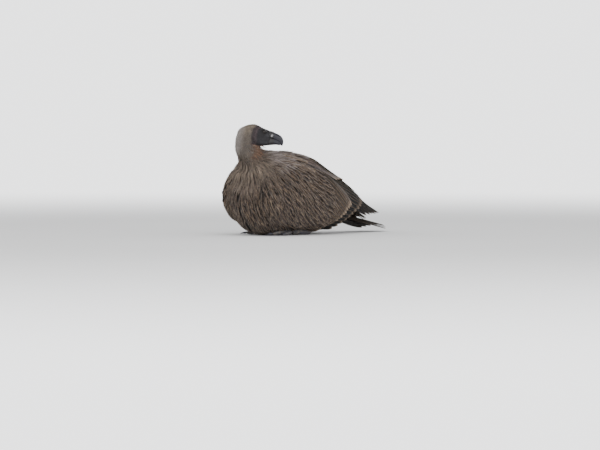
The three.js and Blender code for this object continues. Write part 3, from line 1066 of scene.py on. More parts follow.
@dataclass
class Skin:
    """The one skin over head, neck, body and wings, which lies inside the coat."""

    space: BirdSpace
    head: HeadShape
    markings: Markings
    form: BodyForm
    flesh: tuple[str, ...] = ("trunk", "neck_upper", "neck_lower", "ruff")
    voxel: float = 3.9

    def coat_depth(self, points: Array) -> Array:
        """How thick the coat is over places of the body, in millimetres."""
        head = self.space.to_head(points)
        depth = mix(3.2, 7.0, ease(275, 225, points[:, 2]))
        on_head = ease(-64, -34, head[:, 0]) * ease(-50, -38, head[:, 2])
        depth = mix(depth, 1.6, on_head)
        bare = ease(-26, -12, head[:, 0]) * ease(-48, -40, head[:, 2])
        depth = mix(depth, 0.0, bare)
        reach = np.linalg.norm(points - RUFF_MIDDLE, axis=1)
        collar = ease(120, 95, reach) * ease(50, 70, reach) * ease(258, 236, points[:, 2])
        return mix(depth, 12.0, collar)

    def build(self) -> Piece:
        """Makes the skin.

        Returns:
            The skin, with its unwrap and colours.
        """
        space = self.space
        stock = [copy_of_node(node) for node in self.flesh]
        stock += [self.head.build("head_form", 64, 48, space), self.form.build(space)]
        skin = joined("skin", stock)
        melt(skin, self.voxel, 10)
        points = space.to_mm(points_of(skin.data))
        inwards = normals_of(skin.data) * self.coat_depth(points)[:, None]
        sunk = points - inwards
        sunk[:, 2] = np.maximum(sunk[:, 2], 3.0)
        set_points(skin.data, space.to_metres(sunk))
        apply_modifier(skin, "SMOOTH", factor=0.5, iterations=4)
        self.refine(skin)
        self.sculpt(skin)
        self.unwrap(skin)
        put_colours(skin.data, "hide", self.markings.hide(space.to_mm(points_of(skin.data))))
        shade_smooth(skin)
        return skin

    def refine(self, skin: Piece) -> None:
        """Gives the head finer faces, and the eyes finer ones still."""
        eye_x, _, eye_z = self.head.eye
        for front, reach in ((-58.0, None), (-40.0, None), (None, 13.0)):
            mesh = skin.data
            head = self.space.to_head(self.space.to_mm(read(mesh.polygons, "center")))
            if reach is None:
                chosen = (head[:, 0] > front) & (head[:, 2] > -46)
            else:
                from_eye = np.hypot(head[:, 0] - eye_x, head[:, 2] - eye_z)
                chosen = (from_eye < reach) & (np.abs(head[:, 1]) > 5)
            choose(skin)
            mesh.vertices.foreach_set("select", np.zeros(len(mesh.vertices), bool))
            mesh.edges.foreach_set("select", np.zeros(len(mesh.edges), bool))
            mesh.polygons.foreach_set("select", chosen)
            bpy.ops.object.mode_set(mode="EDIT")
            bpy.context.tool_settings.mesh_select_mode = (False, False, True)
            bpy.ops.mesh.subdivide(number_cuts=1, smoothness=0.0)
            bpy.ops.object.mode_set(mode="OBJECT")

    def sculpt(self, skin: Piece) -> None:
        """Brings the head to its form and raises its folds and lids."""
        space, head = self.space, self.head
        form = head.build("head_guide", 128, 96, space)
        guide = Surface(form.data, space)
        points = space.to_mm(points_of(skin.data))
        local = space.to_head(points)
        front = np.flatnonzero((local[:, 0] > -60) & (local[:, 2] > -46))
        where, _, _ = guide.nearest(points[front])
        gap = np.linalg.norm(where - points[front], axis=1)
        hold = ease(-46, -26, local[front, 0]) * ease(5.0, 2.0, gap)
        points[front] = mix(points[front], where, hold[:, None])
        bpy.data.objects.remove(form)
        set_points(skin.data, space.to_metres(points))
        normals = normals_of(skin.data)
        local = space.to_head(points)
        region = ease(-40, -24, local[:, 0]) * ease(-46, -40, local[:, 2])
        points = points + normals * (head.relief(local) * region)[:, None]
        local = space.to_head(points)
        opened = head.lids(local)
        near = (local[:, 0] > -20) & (local[:, 2] > -20)
        local[near] = opened[near]
        set_points(skin.data, space.head_to_metres(local))

    @staticmethod
    def unwrap(skin: Piece) -> None:
        """Lays the skin out flat on its own map."""
        skin.data.uv_layers.new(name="OFBake")
        edit_all(skin, bpy.ops.uv.smart_project, angle_limit=math.radians(66), island_margin=0.002)


@dataclass
class Envelope:
    """The outer face of the body's plumage, made to lay feathers on and then taken away."""

    space: BirdSpace
    voxel: float = 5.0
    swelling: float = 2.0  # by which the nodes overlap while they are joined, in millimetres

    def surface(self, nodes: Sequence[str], form: BodyForm | None = None) -> Surface:
        """Joins frame nodes into one smooth surface.

        Args:
            nodes: The frame nodes.
            form: The full body, where the hollows between the nodes are to be filled.

        Returns:
            The surface.
        """
        stock = [copy_of_node(node) for node in nodes]
        if form is not None:
            stock.append(form.build(self.space))
        for piece in stock:
            swell(piece, self.swelling)
        whole = joined("envelope", stock)
        melt(whole, self.voxel, 14)
        swell(whole, -self.swelling)
        result = Surface(whole.data, self.space)
        bpy.data.objects.remove(whole)
        return result


# ---- bill, eyes and feet
@dataclass
class Bill:
    """The bill's halves in the head's frame. Rows: share, upper x and z, lower x and z, half width."""

    space: BirdSpace
    upper: Rows = field(
        default_factory=lambda: Rows([
            [0.0, 17, 14.6, 17, -6, 13.8], [0.17, 30, 13.9, 30, -7.6, 13.2], [0.32, 40, 11.9, 40, -8.9, 12.2],
            [0.46, 51, 9.4, 50, -11.2, 10.6], [0.6, 60.5, 4.9, 56.5, -14.4, 8.4],
            [0.74, 67.4, -3.0, 60.5, -18.0, 6.2], [0.87, 70.6, -12.5, 63.6, -21.8, 4.2],
            [1.0, 69.8, -24.6, 67.6, -25.8, 1.6],
        ])
    )
    lower: Rows = field(
        default_factory=lambda: Rows([
            [0.0, 6, -5.5, 8, -34.4, 12.8], [0.3, 22, -4.8, 23, -32.4, 12.2],
            [0.55, 36, -6.0, 36, -28.6, 10.9], [0.8, 50, -9.0, 50, -25.0, 8.6],
            [1.0, 66, -18.0, 64.5, -24.2, 4.6],
        ])
    )
    cere_end: float = 37.0

    @staticmethod
    def section(
        rows: Rows, share: Array, angle: Array, tip: float, rounding: Sequence[float],
    ) -> tuple[Array, Array, Array]:
        """A half's plain form.

        Args:
            rows: The half's rows.
            share: How far along.
            angle: The angle round it.
            tip: How much of its length the tip's rounding takes.
            rounding: The powers of height and width above the middle, then below it.

        Returns:
            How far forward, how far out and how high its points are.
        """
        top_x, top_z, low_x, low_z, width = rows.at(share)
        close = round_end(share, 0.05) * round_end(1 - share, tip)
        sine, cosine = np.sin(angle), np.cos(angle)
        upper_height, upper_width, lower_height, lower_width = rounding
        height = np.sign(sine) * np.abs(sine) ** np.where(sine > 0, upper_height, lower_height) * close
        side = np.sign(cosine) * np.abs(cosine) ** np.where(sine > 0, upper_width, lower_width)
        x = (top_x + low_x) / 2 + (top_x - low_x) / 2 * height
        z = (top_z + low_z) / 2 + (top_z - low_z) / 2 * height
        return x, width * close * side, z

    def upper_half(self) -> Piece:
        """The hooked upper half, with its cere, nostrils and sharp cutting edge.

        Returns:
            The piece.
        """

        def place(share: Array, angle: Array) -> Array:
            x, y, z = self.section(self.upper, share, angle, 0.07, (0.92, 0.72, 0.75, 0.34))
            sine, cosine = np.sin(angle), np.cos(angle)
            y = y * (1 - 0.16 * np.clip(sine, 0, 1) ** 2)
            edge = bump(sine, -0.62, 0.25)
            z = z - 0.9 * edge * bump(x, 46, 10) + 0.5 * edge * bump(x, 58, 5)
            flank = np.clip(np.abs(cosine), 0, 1) ** 0.5
            cere = ease(self.cere_end + 1.2, self.cere_end - 1.2, x + 0.18 * z)
            relief = 0.75 * cere - 0.35 * bump(x + 0.18 * z, self.cere_end + 1.5, 1.2)
            slit = np.hypot(x - 31.4 - 0.15 * (z - 1), (z - 1.4) / 3.1)
            nostril = -1.6 * np.exp(-(slit**4)) + 0.5 * bump(slit, 1.7, 0.45)
            y = y + np.sign(cosine) * (relief * flank + nostril * (np.abs(cosine) > 0.3))
            z = z + 0.55 * cere * np.clip(sine, 0, 1)
            return self.space.head_to_metres(np.stack([x, y, z], -1))

        return globe("bill_upper_horn", 112, 96, place)

    def lower_half(self) -> Piece:
        """The lower half, shut inside the upper one's cutting edge.

        Returns:
            The piece.
        """

        def place(share: Array, angle: Array) -> Array:
            x, y, z = self.section(self.lower, share, angle, 0.12, (0.85, 0.35, 0.85, 0.7))
            top_z = self.lower.at(share)[1]
            groove = -0.5 * bump(z - (top_z - 6.5), 0, 0.9) * ease(24, 32, x)
            keel = 1 - 0.22 * np.clip(-np.sin(angle), 0, 1) ** 2
            y = y * keel + np.sign(np.cos(angle)) * groove
            return self.space.head_to_metres(np.stack([x, y, z], -1))

        return globe("bill_lower_horn", 80, 64, place)

    def draw(self, piece: Piece) -> None:
        """Colours a half: horn, cere, worn flank, and a painted highlight round the dark nostril."""
        x, y, z = self.space.head_points(piece.data).T
        colour = np.tile(np.array(srgb(31, 30, 38)), (len(x), 1))
        colour = painted(colour, srgb(32, 30, 32), ease(39, 35, x + 0.18 * z))
        colour = painted(colour, srgb(48, 47, 54), 0.6 * bump(x, 58, 10) * bump(z, -4, 9))
        # painted highlight: a pale glossy patch on the horn round the nostril
        pale = np.exp(-(np.hypot((x - 30.2 - 0.2 * (z - 1)) / 3.0, (z - 1.0) / 4.3) ** 4.0))
        colour = painted(colour, srgb(184, 182, 185), pale * 0.75 * (np.abs(y) > 5))
        slit = np.exp(-(np.hypot((x - 31.4 - 0.15 * (z - 1)) / 0.8, (z - 1.4) / 2.8) ** 4))
        put_colours(piece.data, "drawn", painted(colour, srgb(30, 28, 30), slit * 0.8))


@dataclass
class Eyes:
    """The eyeballs, set behind the lids."""

    head: HeadShape

    def build(self, space: BirdSpace, side: Side) -> Piece:
        """Makes one eyeball with its clear bulge.

        Args:
            space: The bird's millimetres.
            side: Which eye.

        Returns:
            The piece, with the distance from its gaze as an attribute.
        """
        hand = -side.value
        gaze = unit(np.array([0.22, hand, 0.04]))
        centre = np.array(self.head.eye) * [1, hand, 1]

        def place(share: Array, angle: Array) -> Array:
            ring = np.sin(np.pi * share)
            ball = np.stack([ring * np.cos(angle), ring * np.sin(angle), -np.cos(np.pi * share)], -1)
            cornea = 0.55 * ease(0.80, 0.97, ball @ gaze)
            return space.head_to_metres(ball * (self.head.eye_radius + cornea)[:, None] + centre)

        ball = globe(f"eyeball_{side.label}", 56, 40, place)
        off = 1 - unit(space.head_points(ball.data) - centre) @ gaze
        put_colours(ball.data, "gaze", np.stack([off, off, off], -1))
        return ball


@dataclass
class Feet:
    """Folded feet and shanks with their scutes, and the claws."""

    space: BirdSpace
    toes: tuple[str, ...] = ("inner", "middle", "outer", "hind")

    def foot(self, side: Side) -> Piece:
        """One foot with its shank: the frame's form, rounded and cut into scutes.

        Args:
            side: Which foot.

        Returns:
            The piece.
        """
        stock = [copy_of_node(f"foot_{side.label}"), copy_of_node(f"shank_{side.label}")]
        for piece in stock:
            swell(piece, 0.5)
        foot = joined(f"foot_skin_{side.label}", stock)
        melt(foot, 1.4, 8)
        points = self.space.to_mm(points_of(foot.data))
        normals = normals_of(foot.data)
        ankle = np.array([-75.0, side.value * 58.0])
        along = np.hypot(points[:, 0] - ankle[0], points[:, 1] - ankle[1])
        upper = ease(-0.1, 0.6, normals[:, 2])
        row = 0.5 + 0.5 * np.cos(2 * math.pi * along / 4.6)
        scute = -0.55 * row**6 * upper
        grain = 0.18 * np.sin(points[:, 0] * 1.9) * np.sin(points[:, 1] * 2.1 + points[:, 2]) * (1 - upper)
        points = points + normals * (scute + grain - 0.2)[:, None]
        points[:, 2] = np.maximum(points[:, 2], 0.0)
        set_points(foot.data, self.space.to_metres(points))
        shade_smooth(foot)
        return foot

    def claws(self, side: Side) -> Piece:
        """The four claws of one foot, rounded.

        Args:
            side: Which foot.

        Returns:
            The piece.
        """
        stock = [copy_of_node(f"claw_{toe}_{side.label}") for toe in self.toes]
        claws = joined(f"claws_{side.label}", stock)
        melt(claws, 0.8, 6)
        points = points_of(claws.data)
        points[:, 2] = np.maximum(points[:, 2], 0.0)
        set_points(claws.data, points)
        shade_smooth(claws)
        return claws


# ---- finishes
class NodeSketch:
    """A material's nodes, drawn with short calls."""

    def __init__(self, name: str) -> None:
        """Starts a material with its shader.

        Args:
            name: The material's name.
        """
        self.material = bpy.data.materials.new(name)
        self.material.use_nodes = True
        self.tree = self.material.node_tree
        self.tree.nodes.clear()
        self.shader = self.tree.nodes.new("ShaderNodeBsdfPrincipled")
        output = self.tree.nodes.new("ShaderNodeOutputMaterial")
        self.tree.links.new(self.shader.outputs["BSDF"], output.inputs["Surface"])

    def node(self, kind: str, **settings: str | bool) -> bpy.types.Node:
        """Adds a node with its settings."""
        node = self.tree.nodes.new(f"ShaderNode{kind}")
        for name, value in settings.items():
            setattr(node, name, value)
        return node

    def feed(self, socket: Socket, value: Value | Sequence[float]) -> None:
        """Gives a socket a link or a plain value."""
        if isinstance(value, bpy.types.NodeSocket):
            self.tree.links.new(value, socket)
        elif hasattr(value, "__len__") and len(value) == 3 and socket.type == "RGBA":
            socket.default_value = (*value, 1.0)
        else:
            socket.default_value = value

    def attribute(self, name: str) -> tuple[Socket, Socket]:
        """The colour and the fourth part of an attribute."""
        node = self.node("Attribute", attribute_name=name)
        return node.outputs["Color"], node.outputs["Alpha"]

    def parts(self, colour: Socket) -> tuple[Socket, Socket, Socket]:
        """The three parts of a colour."""
        node = self.node("SeparateColor")
        self.feed(node.inputs[0], colour)
        return node.outputs[0], node.outputs[1], node.outputs[2]

    def vane_place(self) -> tuple[Socket, Socket]:
        """Across and along a vane."""
        node = self.node("SeparateXYZ")
        self.feed(node.inputs[0], self.node("UVMap", uv_map="vane").outputs[0])
        return node.outputs[0], node.outputs[1]

    def place(self) -> Socket:
        """The place on the object, in metres."""
        return self.node("TexCoord").outputs["Object"]

    def math(self, operation: str, a: Value, b: Value = 0.0) -> Socket:
        """The outcome of an operation on two values."""
        node = self.node("Math", operation=operation)
        self.feed(node.inputs[0], a)
        self.feed(node.inputs[1], b)
        return node.outputs[0]

    def times(self, a: Value, b: Value) -> Socket:
        """The product of two values."""
        return self.math("MULTIPLY", a, b)

    def plus(self, a: Value, b: Value) -> Socket:
        """The sum of two values."""
        return self.math("ADD", a, b)

    def soft_range(
        self, value: Socket, low: float, high: float, start: float = 0.0, end: float = 1.0,
    ) -> Socket:
        """A soft step between two values."""
        node = self.node("MapRange", interpolation_type="SMOOTHSTEP")
        for socket, given in zip(node.inputs[:5], (value, low, high, start, end)):
            self.feed(socket, given)
        return node.outputs[0]

    def squeezed_place(self, stretch: Sequence[float]) -> Socket:
        """The place on the object, squeezed along each axis."""
        mapping = self.node("Mapping")
        self.feed(mapping.inputs["Vector"], self.place())
        mapping.inputs["Scale"].default_value = stretch
        return mapping.outputs[0]

    def noise(
        self, scale: float, detail: float = 3.0, roughness: float = 0.55,
        stretch: Sequence[float] = (1, 1, 1),
    ) -> Socket:
        """Cloudy noise over the object.

        Args:
            scale: Clouds for each metre.
            detail: How many finer layers there are.
            roughness: How strong the finer layers are.
            stretch: How the clouds are squeezed along each axis.

        Returns:
            The noise, about 0.5.
        """
        node = self.node("TexNoise")
        given = {
            "Vector": self.squeezed_place(stretch), "Scale": scale, "Detail": detail, "Roughness": roughness,
        }
        for name, value in given.items():
            self.feed(node.inputs[name], value)
        return node.outputs[0]

    def cells(self, scale: float, place: Socket) -> Socket:
        """The distance from the edges of round cells, so many for each metre."""
        node = self.node("TexVoronoi", feature="DISTANCE_TO_EDGE")
        self.feed(node.inputs["Vector"], place)
        node.inputs["Scale"].default_value = scale
        return node.outputs[0]

    def blend(self, share: Value, a: Tint, b: Tint, kind: str = "MIX") -> Socket:
        """A blend of two colours."""
        node = self.node("Mix", data_type="RGBA", blend_type=kind)
        self.feed(node.inputs[0], share)
        self.feed(node.inputs[6], a)
        self.feed(node.inputs[7], b)
        return node.outputs[2]

    def brightened(self, colour: Tint, factor: Socket) -> Socket:
        """A colour made lighter or darker by a factor."""
        node = self.node("VectorMath", operation="SCALE")
        self.feed(node.inputs[0], colour)
        self.feed(node.inputs["Scale"], factor)
        return node.outputs[0]

    def relief(
        self, height: Socket, depth: float, strength: float = 1.0, under: Socket | None = None,
    ) -> Socket:
        """A bump from a height.

        Args:
            height: The height, 0 to 1.
            depth: What 1 stands for, in metres.
            strength: How much of it is used.
            under: A coarser bump that it lies on.

        Returns:
            The normal.
        """
        node = self.node("Bump")
        node.inputs["Strength"].default_value = strength
        node.inputs["Distance"].default_value = depth
        self.feed(node.inputs["Height"], height)
        if under is not None:
            self.feed(node.inputs["Normal"], under)
        return node.outputs[0]

    def finish(
        self, colour: Tint, roughness: Value, normal: Socket | None = None, specular: float = 0.5,
        sheen: tuple[float, float] = (0.0, 0.5),
    ) -> Material:
        """Feeds the shader and gives the material.

        Args:
            colour: The colour.
            roughness: The roughness.
            normal: The normal with all bumps.
            specular: How strongly the face mirrors.
            sheen: How strong the soft sheen is, and how rough.

        Returns:
            The material.
        """
        fixed = {"Specular IOR Level": specular, "Sheen Weight": sheen[0], "Sheen Roughness": sheen[1]}
        for name, value in {"Base Color": colour, "Roughness": roughness, **fixed}.items():
            self.feed(self.shader.inputs[name], value)
        if normal is not None:
            self.feed(self.shader.inputs["Normal"], normal)
        return self.material


@dataclass(frozen=True)
class VaneFinish:
    """Feathers: vane colour, pale shaft and edge, and the run of the barbs."""

    name: str
    streak: Colour = srgb(134, 118, 104)
    edge: Colour = srgb(134, 115, 98)
    barbs: float = 34.0  # barbs along the vane
    slant: float = 7.0  # barbs that a barb passes on its way to the edge
    barb_tone: float = 0.16
    streak_width: float = 0.24
    roughness: float = 0.82
    sheen: float = 0.10

    def material(self) -> Material:
        """Makes the material."""
        sketch = NodeSketch(self.name)
        coat, _ = sketch.attribute("coat")
        marks, _ = sketch.attribute("marks")
        streak, edge, chance = sketch.parts(marks)
        across, along = sketch.vane_place()
        off = sketch.times(sketch.math("ABSOLUTE", sketch.math("SUBTRACT", across, 0.5)), 2.0)
        wobble = sketch.noise(220.0, 2.0)
        barb = sketch.times(along, self.barbs)
        barb = sketch.plus(barb, sketch.times(off, self.slant))
        barb = sketch.plus(barb, sketch.times(wobble, 2.2))
        barb = sketch.plus(barb, sketch.times(chance, 17.0))
        wave = sketch.math("SINE", sketch.times(barb, 2 * math.pi))
        tone = sketch.plus(1.0, sketch.times(wave, self.barb_tone))
        cloud = sketch.soft_range(sketch.noise(46.0, 4.0), 0.25, 0.75, 0.82, 1.18)
        colour = sketch.brightened(coat, sketch.times(tone, cloud))
        shaft = sketch.soft_range(off, self.streak_width, self.streak_width * 0.35)
        shaft = sketch.times(shaft, sketch.soft_range(along, 0.18, 0.45))
        shaft = sketch.times(shaft, streak)
        colour = sketch.blend(shaft, colour, self.streak)
        rim = sketch.plus(off, sketch.times(wobble, 0.35))
        rim = sketch.soft_range(rim, 0.82, 1.08)
        tip = sketch.soft_range(sketch.plus(along, sketch.times(wobble, 0.06)), 0.93, 1.02)
        rim = sketch.times(sketch.math("MAXIMUM", rim, tip), edge)
        colour = sketch.blend(rim, colour, self.edge)
        normal = sketch.relief(wave, 0.00022, 0.7)
        return sketch.finish(colour, self.roughness, normal, 0.12, (self.sheen, 0.5))


@dataclass(frozen=True)
class DownFinish:
    """Short down: the coat's colour, with painted shade towards the roots where the tufts lie under each
    other, and lighter at the tips.
    """

    name: str
    roughness: float = 0.9

    def material(self) -> Material:
        """Makes the material."""
        sketch = NodeSketch(self.name)
        coat, _ = sketch.attribute("coat")
        _, along = sketch.vane_place()
        cloud = sketch.soft_range(sketch.noise(90.0, 4.0, 0.6), 0.28, 0.72, 0.78, 1.2)
        # painted shade: darker towards the roots of the tufts, lighter at the tips
        ends = sketch.soft_range(along, 0.1, 0.9, 0.78, 1.12)
        colour = sketch.brightened(coat, sketch.times(cloud, ends))
        return sketch.finish(colour, self.roughness, specular=0.2, sheen=(0.2, 0.6))


@dataclass(frozen=True)
class HideFinish:
    """The bare slate skin of the face, with fine wrinkles and pores, and the skin under the coat."""

    name: str
    roughness: float = 0.55

    def material(self) -> Material:
        """Makes the material."""
        sketch = NodeSketch(self.name)
        hide, _ = sketch.attribute("hide")
        cloud = sketch.soft_range(sketch.noise(120.0, 5.0, 0.6), 0.3, 0.7, 0.8, 1.22)
        colour = sketch.brightened(hide, cloud)
        pebble = sketch.soft_range(sketch.cells(620.0, sketch.squeezed_place((1.0, 1.0, 1.6))), 0.0, 0.22)
        coarse = sketch.relief(sketch.noise(260.0, 3.0, 0.6), 0.0007, 0.8)
        normal = sketch.relief(pebble, 0.00022, 0.7, coarse)
        pored = sketch.brightened(colour, sketch.soft_range(pebble, 0.0, 1.0, 0.55, 1.05))
        colour = sketch.blend(0.25, colour, pored)
        rough = sketch.soft_range(sketch.noise(300.0), 0.3, 0.7, self.roughness - 0.08, self.roughness + 0.15)
        return sketch.finish(colour, rough, normal, 0.3)


@dataclass(frozen=True)
class HornFinish:
    """Horn: blue-black with worn growth lines."""

    name: str
    colour: Colour = srgb(58, 57, 66)
    worn: Colour = srgb(92, 90, 96)
    roughness: float = 0.34
    lines: float = 520.0

    def material(self) -> Material:
        """Makes the material."""
        sketch = NodeSketch(self.name)
        cloud = sketch.noise(95.0, 5.0, 0.65)
        streaks = sketch.noise(self.lines, 3.0, 0.6, (0.35, 0.35, 1.6))
        share = sketch.times(sketch.soft_range(cloud, 0.45, 0.8), 0.6)
        colour = sketch.blend(share, self.colour, self.worn)
        colour = sketch.brightened(colour, sketch.soft_range(streaks, 0.3, 0.7, 0.88, 1.12))
        rough = sketch.soft_range(cloud, 0.35, 0.75, self.roughness - 0.06, self.roughness + 0.2)
        normal = sketch.relief(streaks, 0.0002, 0.5)
        return sketch.finish(colour, rough, normal)


@dataclass(frozen=True)
class BillFinish:
    """The bill's horn and cere, from a colour drawn on its points."""

    name: str
    roughness: float = 0.36

    def material(self) -> Material:
        """Makes the material."""
        sketch = NodeSketch(self.name)
        drawn, _ = sketch.attribute("drawn")
        cloud = sketch.noise(110.0, 5.0, 0.65)
        streaks = sketch.noise(480.0, 3.0, 0.6, (0.5, 0.5, 1.4))
        colour = sketch.brightened(drawn, sketch.soft_range(cloud, 0.3, 0.75, 0.85, 1.25))
        colour = sketch.brightened(colour, sketch.soft_range(streaks, 0.3, 0.7, 0.92, 1.08))
        rough = sketch.soft_range(cloud, 0.3, 0.75, self.roughness - 0.06, self.roughness + 0.18)
        normal = sketch.relief(streaks, 0.00018, 0.5)
        return sketch.finish(colour, rough, normal, 0.38)


@dataclass(frozen=True)
class EyeFinish:
    """A wet eye: black pupil, dark brown iris, dark rim."""

    name: str
    iris: Colour = srgb(32, 20, 15)
    rim: Colour = srgb(18, 13, 12)
    pupil: Colour = srgb(6, 5, 5)

    def material(self) -> Material:
        """Makes the material."""
        sketch = NodeSketch(self.name)
        gaze, _ = sketch.attribute("gaze")
        off, _, _ = sketch.parts(gaze)
        flecks = sketch.soft_range(sketch.noise(900.0, 3.0), 0.3, 0.7, 0.7, 1.4)
        iris = sketch.brightened(self.iris, flecks)
        colour = sketch.blend(sketch.soft_range(off, 0.055, 0.07), self.pupil, iris)
        colour = sketch.blend(sketch.soft_range(off, 0.16, 0.24), colour, self.rim)
        return sketch.finish(colour, 0.08, specular=0.35)


@dataclass(frozen=True)
class FootFinish:
    """Grey scaled skin."""

    name: str
    colour: Colour = srgb(82, 80, 84)
    dust: Colour = srgb(122, 114, 104)

    def material(self) -> Material:
        """Makes the material."""
        sketch = NodeSketch(self.name)
        scale = sketch.soft_range(sketch.cells(420.0, sketch.place()), 0.0, 0.16)
        cloud = sketch.noise(80.0, 4.0)
        colour = sketch.blend(sketch.soft_range(cloud, 0.45, 0.75), self.colour, self.dust)
        colour = sketch.brightened(colour, sketch.soft_range(scale, 0.0, 1.0, 0.55, 1.0))
        normal = sketch.relief(scale, 0.0003, 0.8)
        return sketch.finish(colour, 0.62, normal)


@dataclass(frozen=True)
class StageFinish:
    """A plain pale floor that runs without an edge into a bright backdrop."""

    name: str
    floor: Colour = (0.80, 0.80, 0.80)
    glow: float = 2.68
    near: float = 1.2
    far: float = 6.0

    def material(self) -> Material:
        """Makes the material."""
        sketch = NodeSketch(self.name)
        length = sketch.node("VectorMath", operation="LENGTH")
        sketch.feed(length.inputs[0], sketch.place())
        share = sketch.soft_range(length.outputs["Value"], self.near, self.far)
        sketch.feed(sketch.shader.inputs["Emission Color"], (0.985, 0.99, 1.0))
        sketch.feed(sketch.shader.inputs["Emission Strength"], sketch.times(share, self.glow))
        return sketch.finish(sketch.blend(share, self.floor, (0.02, 0.02, 0.02)), 0.9, specular=0.0)


# ---- flight feathers and other long feathers
@dataclass(frozen=True)
class FeatherFan:
    """Long feathers laid side by side over the shell, from the first, nearest the back, to the last.

    Rows give order, x and rise of the roots, and order, x, rise and bow of the tips. Widths and lifts are in
    millimetres; a bow is how far the middle bends down, in degrees of rise.
    """

    name: str
    count: int
    roots: Rows2D
    tips: Rows2D
    width: tuple[float, float]
    lift: tuple[float, float]
    shingle: float
    cut: VaneCut
    base: Colour
    tip: Colour
    tip_from: float = 0.7
    streak: float = 0.0
    edge: tuple[float, float] = (0.0, 0.0)  # strength of the pale edge on the first and the last
    stations: int = 24
    uneven: float = 3.0  # how far the tips may differ, in millimetres
    rising: float = 1.3  # how late the lift grows along the feather
    tilt: float = 0.14  # how far each turns about its shaft to lap over the next, in radians

    def lay(self, shell: Shell, side: Side, rng: np.random.Generator) -> VaneBatch:
        """Lays the fan on one side.

        Args:
            shell: The plumage's outer face.
            side: Which side of the body.
            rng: The seeded source of chance.

        Returns:
            The feathers, laid out.
        """
        order = np.linspace(0, 1, self.count)[:, None]
        along = stations_along(self.stations)[None, :]
        root_x, root_rise = Rows(self.roots).at(order)
        tip_x, tip_rise, bow = Rows(self.tips).at(order)
        tip_x = tip_x + self.uneven * rng.uniform(-1, 1, (self.count, 1))
        tip_rise = tip_rise + 0.25 * self.uneven * rng.uniform(-1, 1, (self.count, 1))
        x = mix(root_x, tip_x, along)
        rise = mix(root_rise, tip_rise, along) - bow * np.sin(np.pi * along)
        stack = self.shingle * (self.count - 1) * (1 - order)
        lift = mix(self.lift[0], self.lift[1], along**self.rising) + stack * (0.25 + 0.75 * along)
        line = shell.place(x, rise, lift, side)
        over_x = shell.place(x + 3, rise, lift, side) - shell.place(x - 3, rise, lift, side)
        over_rise = shell.place(x, rise + 1.5, lift, side) - shell.place(x, rise - 1.5, lift, side)
        up = unit(np.cross(over_x, over_rise))
        _, middle, _ = shell.guide.rows.at(x)
        above = np.maximum(line[..., 2] - middle, 12.0)
        outwards = (up * np.stack([np.zeros_like(x), line[..., 1], above], -1)).sum(-1, keepdims=True)
        up = up * np.where(outwards < 0, -1.0, 1.0)
        downwards = -side.value * unit(np.cross(unit(np.gradient(line, axis=1)), up))
        up = unit(up - downwards * math.tan(self.tilt))
        width = mix(self.width[0], self.width[1], order) * self.cut.width_share(along)
        frayed = rng.normal(0, 1, (2, self.count, self.stations))
        rough = 1 + self.cut.ragged * frayed * ease(0.2, 0.6, along)
        lower, upper = width * 0.40 * rough[0], width * 0.60 * rough[1]
        left, right = (upper, lower) if side is Side.LEFT else (lower, upper)
        share = ease(self.tip_from, 1.0, along)[..., None]
        colour = mix(np.array(self.base), np.array(self.tip), share)
        colour = colour * (1 + 0.07 * rng.normal(0, 1, (self.count, 1, 1))) * np.ones((self.count, 1, 1))
        return VaneBatch(
            line=line, up=up, left=left, right=right, colour=np.clip(colour, 0.001, 0.95),
            streak=np.full(self.count, self.streak), edge=np.linspace(*self.edge, self.count),
            chance=rng.random(self.count), cut=self.cut, along=along[0],
        )


BROAD = VaneCut(
    waist=0.55, shoulder=0.72, point=0.5, ragged=0.015, camber=1.4, thickness=0.7, rachis=0.7, half_ring=6,
)
STIFF = VaneCut(
    waist=0.5, shoulder=0.62, point=0.55, ragged=0.012, camber=1.1, thickness=0.8, rachis=0.8, half_ring=6,
)
LONG = VaneCut(
    waist=0.7, shoulder=0.45, point=0.75, ragged=0.01, camber=1.1, thickness=0.8, rachis=0.8, half_ring=6,
)
COVERT = VaneCut(
    waist=0.55, shoulder=0.68, point=0.55, ragged=0.03, camber=1.1, thickness=0.6, rachis=0.45, half_ring=4,
)

TERTIALS = FeatherFan(
    name="tertials", count=7, roots=[[0, -70, 80], [1, -66, 54]],
    tips=[[0, 198, 77, 0], [0.4, 184, 65, 0], [0.75, 144, 51, 0], [1, 99, 39, 1.5]], width=(42, 38),
    lift=(-6.5, 5.2), rising=2.4, shingle=0.25, cut=BROAD, base=srgb(118, 104, 101), tip=srgb(150, 136, 128),
    tip_from=0.5, streak=0.3, edge=(0.6, 0.9),
)
SECONDARIES = FeatherFan(
    name="secondaries", count=19, roots=[[0, -30, 80], [0.3, -30, 58], [0.55, -10, 34], [1, -60, -40]],
    tips=[
        [0, 214, 76, 0], [0.2, 232, 58, 0], [0.36, 247, 35, 0], [0.5, 241, 13, 2], [0.72, 185, -20, 3],
        [1, 104, -54, 0],
    ],
    width=(38, 30), lift=(-8.0, 3.0), rising=2.2, shingle=0.0, cut=STIFF, base=srgb(13, 11, 12),
    tip=srgb(40, 34, 32), tip_from=0.8, edge=(0.35, 0.6),
)
PRIMARIES = FeatherFan(
    name="primaries", count=8, roots=[[0, 20, 60], [1, 20, 27]],
    tips=[[0, 374, 41, 0], [0.5, 345, 16, 0], [1, 284, -15, 0]], width=(30, 28), lift=(-6.0, -4.0),
    shingle=0.3, cut=LONG, base=srgb(28, 25, 26), tip=srgb(38, 33, 32), edge=(0.15, 0.2), stations=28,
)
GREATER_COVERTS = FeatherFan(
    name="greater_coverts", count=15, roots=[[0, -92, 45], [0.35, -96, 14], [1, -92, -46]],
    tips=[[0, 162, -3, -15], [0.14, 146, -10, -11], [0.4, 112, -24, -3], [0.7, 74, -38, 0], [1, 28, -54, 0]],
    width=(32, 27), lift=(-5.0, 2.0), shingle=0.0, cut=COVERT, base=srgb(62, 52, 48), tip=srgb(112, 95, 82),
    tip_from=0.4, streak=0.3, edge=(1.2, 1.0), stations=22,
)
